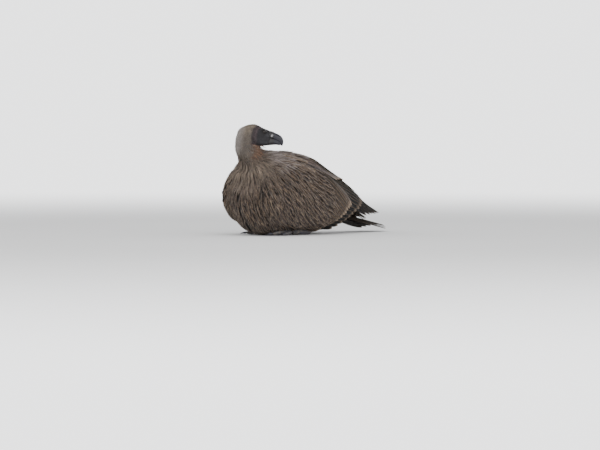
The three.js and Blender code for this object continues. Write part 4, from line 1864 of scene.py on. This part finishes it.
SCAPULARS = dict(count=6, shingle=0.3, cut=COVERT, tip_from=0.45, stations=16)
SCAPULAR_FANS = (
    FeatherFan(
        name="scapulars_low", roots=[[0, -205, 66], [1, -122, 46]],
        tips=[[0, -128, 54, -2], [1, -26, 32, -3]], width=(26, 32), lift=(-2.0, 0.4), base=srgb(84, 72, 68),
        tip=srgb(132, 115, 101), streak=0.4, edge=(0.5, 0.9), **SCAPULARS,
    ),
    FeatherFan(
        name="scapulars_middle", roots=[[0, -205, 78], [1, -128, 61]],
        tips=[[0, -118, 67, -2], [1, -32, 50, -3]], width=(30, 36), lift=(-2.5, 0.8), base=srgb(98, 85, 80),
        tip=srgb(146, 129, 114), streak=0.3, edge=(0.6, 1.1), **SCAPULARS,
    ),
    FeatherFan(
        name="scapulars_high", roots=[[0, -195, 89], [1, -138, 73]], tips=[[0, -92, 88, 0], [1, -18, 64, 0]],
        width=(32, 38), lift=(-2.5, 1.2), base=srgb(114, 102, 100), tip=srgb(148, 135, 128), streak=0.2,
        edge=(0.4, 0.7), **SCAPULARS,
    ),
)


@dataclass
class Tail:
    """Tail feathers, or the coverts over their roots, in a shallow roof."""

    name: str = "tail"
    count: int = 12
    root_x: float = RUMP_X - 46
    tip_x: float = 405.0
    root_z: float = 62.0
    tip_z: float = 19.5
    half_width: tuple[float, float] = (20.0, 56.0)
    width: float = 31.0
    rounding: float = 34.0
    stack: float = 2.2
    base: Colour = srgb(36, 31, 30)
    tip: Colour = srgb(52, 43, 38)
    edge: float = 0.3

    def lay(self, rng: np.random.Generator) -> VaneBatch:
        """Lays the tail out.

        Args:
            rng: The seeded source of chance.

        Returns:
            The feathers, laid out.
        """
        stations = 24
        across = np.linspace(-1, 1, self.count)[:, None]
        along = stations_along(stations)[None, :]
        reach = self.tip_x - self.rounding * np.abs(across) ** 2.2 + 2.5 * rng.uniform(-1, 1, (self.count, 1))
        x = mix(self.root_x, reach, along)
        y = across * mix(self.half_width[0], self.half_width[1], along**0.8)
        stack = self.stack * (1 - np.abs(across))
        ridge = mix(self.root_z, self.tip_z, along**1.15)
        z = ridge - mix(8, 9, along) * across**2 + stack * (0.3 + 0.7 * along)
        line = np.stack([x, y, z], -1)
        ahead = unit(np.gradient(line, axis=1))
        tilt = np.broadcast_to(across * 0.24, x.shape)
        up = np.stack([np.zeros_like(x), tilt, np.ones_like(x)], -1)
        up = unit(up - ahead * (up * ahead).sum(-1, keepdims=True))
        full = self.width * STIFF.width_share(along) * np.ones_like(x)
        narrow, broad = full * 0.42, full * 0.58
        left = np.where(across > 0, broad, narrow)
        right = np.where(across > 0, narrow, broad)
        colour = mix(np.array(self.base), np.array(self.tip), ease(0.6, 1.0, along)[..., None])
        return VaneBatch(
            line=line, up=up, left=left, right=right,
            colour=colour * (1 + 0.06 * rng.normal(0, 1, (self.count, 1, 1))),
            streak=np.full(self.count, 0.15), edge=np.full(self.count, self.edge),
            chance=rng.random(self.count), cut=STIFF, along=along[0],
        )


TAIL_FANS = (
    Tail(),
    Tail(
        name="tail_coverts", count=9, root_x=RUMP_X - 66, tip_x=316.0, root_z=110.0, tip_z=47.0,
        half_width=(22.0, 40.0), width=30.0, rounding=26.0, stack=3.0, base=srgb(72, 61, 56),
        tip=srgb(104, 89, 78), edge=0.9,
    ),
)


# ---- the coat's tracts
SOFT = VaneCut(waist=0.5, shoulder=0.5, point=0.8, ragged=0.16, camber=0.9, thickness=0.5, half_ring=2)
LANCE = VaneCut(waist=0.6, shoulder=0.35, point=1.0, ragged=0.16, camber=0.6, thickness=0.5, half_ring=2)
TUFT = VaneCut(waist=0.9, shoulder=0.2, point=0.9, ragged=0.0, camber=0.25, thickness=0.5, half_ring=2)


@dataclass
class Coat:
    """Down and body feathers, tract by tract."""

    space: BirdSpace
    guide: BodyGuide
    markings: Markings
    skin: Surface
    body: Surface  # the outer face of the body's plumage, with the collar
    collar_lean: float = 38.0  # how far the collar's axis leans forward, in degrees
    fall: Rows = field(
        default_factory=lambda: Rows([
            [-262, -3.2], [-225, -2.5], [-190, -1.95], [-140, -1.6], [-80, -1.15], [-20, -0.9], [60, -0.65],
            [236, -0.35],
        ])
    )

    @property
    def ring_axis(self) -> Array:
        """The collar's axis, up along the neck."""
        lean = math.radians(self.collar_lean)
        return unit(np.array([-math.sin(lean), 0.0, math.cos(lean)]))

    # the lie of the coat
    def body_flow(self, points: Array) -> Array:
        """The lie of the feathers over the body."""
        (drop,) = self.fall.at(points[:, 0])
        rise = self.guide.rise_at(points)
        drop = drop * (1 - 0.75 * ease(52, 82, rise))
        chest = ease(-215, -250, points[:, 0])
        outwards = np.sign(points[:, 1]) * mix(0.10, 0.45, chest)
        return np.stack([mix(np.ones(len(points)), 0.25, chest), outwards, drop], -1)

    def collar_flow(self, points: Array) -> Array:
        """The lie of the collar: away from the neck and down."""
        spoke = points - RUFF_MIDDLE
        spoke = spoke - self.ring_axis * (spoke @ self.ring_axis)[:, None]
        return unit(spoke) - 0.75 * self.ring_axis + np.array([0.0, 0.0, -0.35])

    def head_flow(self, points: Array) -> Array:
        """The lie of the down: back over the head, then down the neck."""
        head = self.space.to_head(points)
        forward, _, upward = self.space.head_axes
        low = ease(-8, -30, head[:, 2])
        over_head = -forward * mix(1.0, 0.7, low)[:, None] - upward * mix(0.12, 0.55, low)[:, None]
        down_neck = np.array([0.30, 0.0, -1.0]) * np.ones((len(points), 1))
        share = np.maximum(ease(-36, -60, head[:, 0]), ease(-30, -50, head[:, 2]))
        return mix(over_head, down_neck, share[:, None])

    def throat_flow(self, points: Array) -> Array:
        """The lie of the fluff: forward under the jaw, and down."""
        forward = self.space.head_axes[0]
        return np.tile(forward + np.array([0.0, 0.0, -0.7]), (len(points), 1))

    # where the tracts lie
    def from_collar(self, points: Array) -> tuple[Array, Array]:
        """How high points are along the collar's axis, and how far from it."""
        spoke = points - RUFF_MIDDLE
        height = spoke @ self.ring_axis
        return height, np.linalg.norm(spoke - self.ring_axis * height[:, None], axis=1)

    def in_collar(self, points: Array, reach: tuple[float, float]) -> Array:
        """Which points lie on the collar, between two distances from its axis."""
        height, radius = self.from_collar(points)
        return (radius > reach[0]) & (radius < reach[1]) & (height > -0.75 * (radius - 30)) & (height < 70)

    def on_skin(
        self, kind: FeatherKind, where: Rule, seed: int, size: Flow | None = None, flow: Flow | None = None,
        lower: float = 0.0,
    ) -> VaneBatch:
        """Lays one kind over a tract of the bare skin.

        Args:
            kind: The kind of feather.
            where: Says, from points and their places in the head's frame, what lies in the tract.
            seed: The seed of its chance.
            size: Gives a share of the full size at points.
            flow: The lie of the tract, if not that of the down.
            lower: How far below its root each takes its colour, in millimetres.

        Returns:
            The feathers, laid out.
        """

        def keep(points: Array, normals: Array) -> Array:
            return where(points, self.space.to_head(points))

        def tint(roots: Array, colour: Array) -> Array:
            return self.neck_tint(roots - lower * self.space.head_axes[2], colour)

        return CoatLayer(self.skin, flow or self.head_flow, seed).lay(kind, keep, tint, size)

    def head_down(self) -> VaneBatch:
        """Short pale down over crown, nape and cheeks, shortest where it meets the bare face."""
        kind = FeatherKind(
            length=7.5, width=1.25, spacing=1.25, depth=0.3, lift=1.9, cut=TUFT, stations=4, stray=26,
            uneven=0.35,
        )

        def where(points: Array, head: Array) -> Array:
            return (self.markings.face_edge(head) < -21) & (points[:, 2] > 296) & (head[:, 2] > -52)

        def size(points: Array) -> Array:
            return mix(0.3, 1.0, ease(-20, -38, self.markings.face_edge(self.space.to_head(points))))

        return self.on_skin(kind, where, 11, size)

    def neck_down(self) -> VaneBatch:
        """Longer pale down over the neck."""
        kind = FeatherKind(
            length=12.0, width=1.7, spacing=1.85, depth=0.4, lift=3.6, cut=TUFT, stations=4, stray=24,
            uneven=0.35,
        )

        def where(points: Array, head: Array) -> Array:
            off_head = (head[:, 0] < -24) | (head[:, 2] < -38)
            on_neck = (points[:, 2] <= 298) & (points[:, 2] > 236)
            return on_neck & off_head & ~self.in_collar(points, (70, 200))

        return self.on_skin(kind, where, 12)

    def throat_fluff(self) -> VaneBatch:
        """Loose warm fluff under the jaw."""
        kind = FeatherKind(
            length=17.0, width=3.4, spacing=3.0, depth=0.4, lift=13.0, cut=TUFT, stations=6, stray=42,
            uneven=0.4,
        )

        def where(points: Array, head: Array) -> Array:
            return (head[:, 0] > -38) & (head[:, 0] < 1) & (head[:, 2] < -38) & (points[:, 2] > 240)

        return self.on_skin(kind, where, 13, flow=self.throat_flow, lower=6.0)

    def face_bristles(self) -> VaneBatch:
        """Sparse dark bristly down on the bare face."""
        kind = FeatherKind(
            length=3.2, width=0.55, spacing=2.3, depth=0.2, lift=0.7, cut=TUFT, stations=4, stray=30,
            uneven=0.4,
        )
        eye_x, _, eye_z = HeadShape.eye

        def where(points: Array, head: Array) -> Array:
            from_eye = np.hypot(head[:, 0] - eye_x, head[:, 2] - eye_z)
            return (head[:, 0] > -22) & (head[:, 0] < 18) & (head[:, 2] > -40) & (from_eye > 10)

        return self.on_skin(kind, where, 14)

    def neck_tint(self, roots: Array, colour: Array) -> Array:
        """The down's colours, from the markings, each tuft a little lighter or darker."""
        rng = np.random.default_rng(15)
        tone = 1 + 0.13 * rng.normal(0, 1, (len(roots), 1, 1))
        base = self.markings.head_and_neck(roots)[:, None, :]
        return np.clip(base * tone, 0.002, 0.9) * np.ones_like(colour)

    def collar_tint(self, roots: Array, colour: Array) -> Array:
        """Pale near the neck, darker outwards and below."""
        share = ease(48, 92, np.linalg.norm(roots - RUFF_MIDDLE, axis=1))
        shade = painted(np.array(srgb(166, 148, 131)), srgb(108, 92, 86), share)
        above = ease(208, 240, roots[:, 2]) * ease(-198, -160, roots[:, 0])
        shade = painted(shade, srgb(200, 186, 182), above)[:, None, :]
        tone = colour.mean(axis=(1, 2), keepdims=True) / max(float(colour.mean()), 1e-6)
        return shade * tone**2.2 * np.ones_like(colour)

    def collar(self) -> list[VaneBatch]:
        """The collar: long narrow loose feathers round the foot of the neck."""
        batches = []
        for reach, length, seed in (((34, 60), 46.0, 21), ((56, 92), 58.0, 22)):
            kind = FeatherKind(
                length=length, width=6.6, spacing=4.9, depth=5.0, lift=4.0, cut=LANCE, stations=9, stray=22,
                uneven=0.3, root=srgb(112, 98, 88), tip=srgb(136, 120, 106), streak=0.9, edge=0.2,
            )

            layer = CoatLayer(self.body, self.collar_flow, seed)
            batches.append(
                layer.lay(kind, lambda p, n, reach=reach: self.in_collar(p, reach), self.collar_tint)
            )
        return batches

    def base_of_neck(self) -> VaneBatch:
        """Short lance-shaped feathers where the down gives way to the collar."""
        kind = FeatherKind(
            length=24, width=3.2, spacing=3.3, depth=0.5, lift=6.0, cut=LANCE, stations=7, stray=18,
            uneven=0.3, streak=0.5,
        )

        def where(points: Array, head: Array) -> Array:
            height, radius = self.from_collar(points)
            return (radius < 66) & (height > 4) & (points[:, 2] < 266 - 26 * speckle(points))

        return self.on_skin(kind, where, 23, lambda points: mix(0.5, 1.0, ease(262, 236, points[:, 2])))

    def tract(
        self, kind: FeatherKind, where: Callable[[Array, Array, Array], Array], seed: int,
        surface: Surface | None = None,
    ) -> VaneBatch:
        """Lays one kind over a tract of the body.

        Args:
            kind: The kind of feather.
            where: Says, from points, normals and rises, what lies in the tract.
            seed: The seed of its chance.
            surface: What they lie on, if not the plumage's outer face.

        Returns:
            The feathers, laid out.
        """

        def keep(points: Array, normals: Array) -> Array:
            rise = self.guide.rise_at(points)
            clear = ~self.in_collar(points, (0, 78)) & (points[:, 2] > 6.0) & (points[:, 2] < 258)
            return where(points, normals, rise) & clear

        return CoatLayer(surface or self.body, self.body_flow, seed).lay(kind, keep)

    def breast(self) -> VaneBatch:
        """Lance-shaped streaked feathers over the breast."""
        kind = FeatherKind(
            length=46, width=13, spacing=8.6, depth=6.0, lift=3.0, cut=LANCE, stations=9, stray=14,
            root=srgb(66, 54, 48), tip=srgb(86, 72, 62), streak=1.0,
        )
        return self.tract(kind, lambda p, n, rise: (n[:, 0] < -0.42) & (p[:, 2] < 236) & (p[:, 0] < -120), 31)

    def shoulder(self) -> VaneBatch:
        """Small feathers over the front of the folded wing."""
        kind = FeatherKind(
            length=32, width=12, spacing=8.0, depth=5.0, lift=2.4, cut=SOFT, stray=12,
            root=srgb(66, 54, 53), tip=srgb(84, 70, 66), streak=1.1,
        )
        return self.tract(
            kind, lambda p, n, rise: (n[:, 0] >= -0.42) & (p[:, 0] < -118) & (rise > -48) & (rise < 66), 32
        )

    def arm(self) -> VaneBatch:
        """The coverts over the middle of the folded wing."""
        kind = FeatherKind(
            length=48, width=17, spacing=11.0, depth=6.0, lift=2.6, cut=SOFT, stations=9, stray=11,
            root=srgb(60, 50, 48), tip=srgb(83, 68, 61), streak=1.1, edge=0.35,
        )

        def where(points: Array, normals: Array, rise: Array) -> Array:
            end = np.interp(rise, [-50, -20, 5, 26, 46], [46, 60, 36, -6, -50]) + 26 * (speckle(points) - 0.5)
            return (points[:, 0] >= -122) & (rise > -50) & (rise < 46) & (points[:, 0] < end)

        return self.tract(kind, where, 33)

    def flank(self) -> VaneBatch:
        """Long loose feathers below the wing and over the belly."""
        kind = FeatherKind(
            length=56, width=17, spacing=12.0, depth=6.0, lift=3.0, cut=LANCE, stations=9, stray=14,
            root=srgb(62, 51, 46), tip=srgb(88, 72, 62), streak=1.0,
        )

        def where(points: Array, normals: Array, rise: Array) -> Array:
            low = (rise <= -46) | ((points[:, 0] > 100) & (rise < -34))
            return (np.abs(normals[:, 0] - 0.04) < 0.46) & low & (points[:, 0] < 232)

        return self.tract(kind, where, 34)

    def loose_streaks(self) -> VaneBatch:
        """Narrow pale plumes that lie loose over the wing and the flank."""
        kind = FeatherKind(
            length=30, width=3.0, spacing=9.5, depth=-1.2, lift=4.2, cut=LANCE, stations=7, stray=20,
            uneven=0.4, root=srgb(128, 110, 97), tip=srgb(196, 173, 150),
        )

        def where(points: Array, normals: Array, rise: Array) -> Array:
            end = np.interp(rise, [-75, -20, 5, 26, 50], [120, 60, 40, -10, -60])
            return (rise > -75) & (rise < 50) & (speckle(points) < 0.8) & (points[:, 0] < end)

        return self.tract(kind, where, 37)

    def mantle(self) -> VaneBatch:
        """The upper back, between the shoulders."""
        kind = FeatherKind(
            length=46, width=19, spacing=12.5, depth=6.0, lift=0.6, cut=SOFT, stray=9,
            root=srgb(140, 129, 129), tip=srgb(176, 163, 161), streak=0.35, edge=0.3,
        )
        return self.tract(kind, lambda p, n, rise: (rise >= 60) & (p[:, 0] < -80) & (n[:, 0] >= -0.5), 35)

    def rump(self) -> VaneBatch:
        """The lower back and the feathers over the root of the tail."""
        kind = FeatherKind(
            length=44, width=19, spacing=10.0, depth=-0.5, lift=6.5, cut=SOFT, stray=9,
            root=srgb(86, 74, 68), tip=srgb(112, 97, 86), streak=0.2, edge=0.3,
        )
        batch = self.tract(
            kind, lambda p, n, rise: (p[:, 0] > 96) & (p[:, 0] < 224) & (rise >= 10) & (np.abs(p[:, 1]) < 44),
            36, self.skin,
        )
        roots = batch.line[:, 0]
        white = ease(176, 130, roots[:, 0] + 18 * (speckle(roots) - 0.5))
        batch.colour = painted(batch.colour, srgb(228, 221, 211), white[:, None])
        return batch


# ---- stage, light and camera
@dataclass
class Studio:
    """The floor and backdrop, the lights and the camera."""

    floor_radius: float = 13.0
    wall_radius: float = 19.0
    wall_height: float = 9.0
    azimuth: float = -45.0
    elevation: float = 2.0
    distance: float = 10.9
    lens: float = 200.0
    aim_right: float = 16.4  # where the middle of the picture looks, in the bird's millimetres
    aim_up: float = 29.5

    def back_way(self) -> Vector:
        """The direction from the bird to the camera."""
        azimuth, elevation = math.radians(self.azimuth), math.radians(self.elevation)
        return Vector((
            math.sin(azimuth) * math.cos(elevation), -math.cos(azimuth) * math.cos(elevation),
            math.sin(elevation),
        ))

    def build_stage(self) -> Piece:
        """A round floor that curves up into a backdrop all about."""
        clear_selection()
        bpy.ops.mesh.primitive_circle_add(vertices=96, radius=0.6, fill_type="TRIFAN")
        stage = bpy.context.object
        stage.name = stage.data.name = "stage_floor"
        steps = [(r, 0.0) for r in (1.2, 2.4, 5.0, 9.0, self.floor_radius)]
        for i in range(1, 13):
            turn = math.radians(90 * i / 12)
            depth = self.wall_radius - self.floor_radius
            steps.append((self.floor_radius + depth * math.sin(turn), depth * (1 - math.cos(turn))))
        steps.append((self.wall_radius, self.wall_height))
        bpy.ops.object.mode_set(mode="EDIT")
        bpy.ops.mesh.select_all(action="DESELECT")
        bpy.context.tool_settings.mesh_select_mode = (False, True, False)
        bpy.ops.object.mode_set(mode="OBJECT")
        rim = [abs(math.hypot(v.co.x, v.co.y) - 0.6) < 1e-4 for v in stage.data.vertices]
        for edge in stage.data.edges:
            edge.select = all(rim[v] for v in edge.vertices)
        bpy.ops.object.mode_set(mode="EDIT")
        before = (0.6, 0.0)
        for radius, height in steps:
            bpy.ops.mesh.extrude_region_move(TRANSFORM_OT_translate={"value": (0, 0, height - before[1])})
            factor = radius / before[0]
            bpy.ops.transform.resize(value=(factor, factor, 1.0), center_override=(0, 0, 0))
            before = (radius, height)
        bpy.ops.object.mode_set(mode="OBJECT")
        shade_smooth(stage)
        stage.data.materials.append(StageFinish("stage_pale").material())
        return stage

    def build_lights(self) -> None:
        """A soft sky and large soft lamps above."""
        world = bpy.data.worlds.new("soft_sky")
        bpy.context.scene.world = world
        world.use_nodes = True
        background = world.node_tree.nodes["Background"]
        background.inputs["Color"].default_value = (0.97, 0.985, 1.0, 1.0)
        background.inputs["Strength"].default_value = 0.75
        self.lamp("key", Vector((-1.6, -1.2, 3.4)), 3.2, 62.0)
        self.lamp("fill", Vector((-1.2, -4.2, 1.4)), 2.6, 10.0)

    @staticmethod
    def lamp(name: str, place: Vector, size: float, power: float) -> None:
        """Adds a square soft lamp that looks at the bird.

        Args:
            name: The lamp's name.
            place: Where it stands.
            size: Its side, in metres.
            power: Its power, in watts.
        """
        data = bpy.data.lights.new(name, "AREA")
        data.shape = "SQUARE"
        data.size = size
        data.energy = power
        data.color = (1.0, 0.985, 0.96)
        lamp = bpy.data.objects.new(name, data)
        bpy.context.scene.collection.objects.link(lamp)
        lamp.location = place
        lamp.rotation_euler = (Vector((0, 0, 0.15)) - place).to_track_quat("-Z", "Y").to_euler()

    def build_camera(self, space: BirdSpace) -> None:
        """Sets the camera at the bird's left front.

        Args:
            space: The bird's millimetres.
        """
        back = self.back_way()
        right = Vector((math.cos(math.radians(self.azimuth)), math.sin(math.radians(self.azimuth)), 0.0))
        aim = right * self.aim_right + Vector((0, 0, self.aim_up))
        aim = Vector(space.to_metres(np.array([aim]))[0])
        data = bpy.data.cameras.new("camera")
        data.lens = self.lens
        data.sensor_width = 36.0
        data.clip_end = 100.0
        camera = bpy.data.objects.new("camera", data)
        bpy.context.scene.collection.objects.link(camera)
        camera.location = aim + back * self.distance
        camera.rotation_euler = (-back).to_track_quat("-Z", "Y").to_euler()
        bpy.context.scene.camera = camera


# ---- the bird put together
class Vulture:
    """Builds every piece, dresses it and ties it to the frame."""

    flesh = ("trunk", "wing_left", "wing_right", "scapulars_left", "scapulars_right")

    def __init__(self) -> None:
        """Reads the frame and prepares the shared shapes and finishes."""
        self.space = BirdSpace()
        self.guide = BodyGuide()
        self.head = HeadShape()
        self.markings = Markings(self.space)
        self.envelope = Envelope(self.space)
        self.shell = Shell(self.guide, self.envelope.surface(self.flesh))
        self.form = BodyForm(self.shell)
        self.vanes = VaneFinish("body_feathers").material()
        self.plumes = VaneFinish("collar_plumes", streak=srgb(134, 119, 103), barbs=26.0).material()
        self.flight = VaneFinish(
            "flight_feathers", edge=srgb(138, 120, 103), barbs=150.0, slant=26.0, barb_tone=0.16,
            streak_width=0.1, roughness=0.72, sheen=0.02,
        ).material()
        self.down = DownFinish("down").material()

    def keep(self, piece: Piece, finish: Material, slot: str, nodes: Sequence[str] = ()) -> None:
        """Dresses a piece, lets it ride on the bird and hides the frame nodes that it stands for.

        Args:
            piece: The finished piece.
            finish: Its material.
            slot: The material slot it stands for; not used.
            nodes: The frame nodes that it replaces.
        """
        piece.data.materials.clear()
        piece.data.materials.append(finish)
        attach(piece, "root")
        if nodes:
            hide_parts(*nodes)
        piece.data.calc_loop_triangles()
        LOG.info("%s: %d triangles", piece.name, len(piece.data.loop_triangles))

    def build_flesh(self) -> Surface:
        """The skin, eyes, bill and feet.

        Returns:
            The skin's surface.
        """
        skin = Skin(self.space, self.head, self.markings, self.form).build()
        self.keep(
            skin, HideFinish("slate_skin").material(), "skin",
            ("head", "neck_upper", "neck_lower", *self.flesh),
        )
        bill = Bill(self.space)
        finish = BillFinish("bill_horn").material()
        for piece, node in ((bill.upper_half(), "bill_upper"), (bill.lower_half(), "bill_lower")):
            bill.draw(piece)
            self.keep(piece, finish, "horn", (node,))
        eye_finish = EyeFinish("wet_eye").material()
        for side in Side:
            self.keep(Eyes(self.head).build(self.space, side), eye_finish, "eye", (f"eye_{side.label}",))
        feet = Feet(self.space)
        foot_finish = FootFinish("scaled_feet").material()
        claw_finish = HornFinish("claw_horn").material()
        for side in Side:
            self.keep(feet.foot(side), foot_finish, "foot", (f"foot_{side.label}", f"shank_{side.label}"))
            claws = tuple(f"claw_{toe}_{side.label}" for toe in feet.toes)
            self.keep(feet.claws(side), claw_finish, "horn", claws)
        return Surface(skin.data, self.space)

    def build_coat(self, skin: Surface) -> None:
        """Down, collar and body feathers.

        Args:
            skin: The skin's surface.
        """
        body = self.envelope.surface([*self.flesh, "ruff", "neck_lower", "neck_upper"], self.form)
        coat = Coat(self.space, self.guide, self.markings, skin, body)
        plan = (
            ("down_head", [coat.head_down(), coat.face_bristles()], self.down, "down", ()),
            ("down_neck", [coat.neck_down(), coat.throat_fluff()], self.down, "down", ()),
            ("collar_plumes", [coat.base_of_neck(), *coat.collar()], self.plumes, "ruff", ("ruff",)),
            ("breast_feathers", [coat.breast(), coat.loose_streaks()], self.vanes, "plumage", ()),
            ("shoulder_coverts", [coat.shoulder()], self.vanes, "plumage", ()),
            ("wing_coverts", [coat.arm()], self.vanes, "plumage", ()),
            ("flank_feathers", [coat.flank()], self.vanes, "plumage", ()),
            ("back_feathers", [coat.mantle(), coat.rump()], self.vanes, "plumage", ()),
        )
        for name, batches, finish, slot, nodes in plan:
            loft = VaneLoft(name, self.space, skin)
            for batch in batches:
                loft.add(batch)
            self.keep(loft.build(), finish, slot, nodes)
        self.build_wings(skin, self.shell, self.shell.roofed(0.0, 8.0, 0.11))

    def build_wings(self, skin: Surface, shell: Shell, roof: Shell) -> None:
        """Scapulars, coverts, flight feathers and tail.

        Args:
            skin: The skin's surface.
            shell: The plumage's outer face.
            roof: The face that the stiff long feathers lie on.
        """
        rng = np.random.default_rng(51)
        for side in Side:
            for fan, slot, nodes in (
                (TERTIALS, "tertial", (f"tertials_{side.label}",)),
                (SECONDARIES, "flight", (f"secondaries_{side.label}",)),
                (PRIMARIES, "flight", (f"primaries_{side.label}",)), (GREATER_COVERTS, "plumage", ()),
            ):
                loft = VaneLoft(f"{fan.name}_vanes_{side.label}", self.space, skin)
                loft.add(fan.lay(roof, side, rng))
                self.keep(loft.build(), self.flight, slot, nodes)
            loft = VaneLoft(f"scapular_vanes_{side.label}", self.space, skin)
            for fan in SCAPULAR_FANS:
                loft.add(fan.lay(shell, side, rng))
            self.keep(loft.build(), self.vanes, "plumage")
        loft = VaneLoft("tail_vanes", self.space, skin)
        for tail in TAIL_FANS:
            loft.add(tail.lay(rng))
        self.keep(loft.build(), self.flight, "flight", ("tail",))


def main() -> None:
    """Builds the bird, its stage and its light."""
    logging.basicConfig(level=logging.INFO, format="%(name)s: %(message)s")
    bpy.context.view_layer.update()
    vulture = Vulture()
    skin = vulture.build_flesh()
    vulture.build_coat(skin)
    studio = Studio()
    studio.build_stage()
    studio.build_lights()
    studio.build_camera(vulture.space)
    clear_selection()


if __name__ == "__main__":
    main()
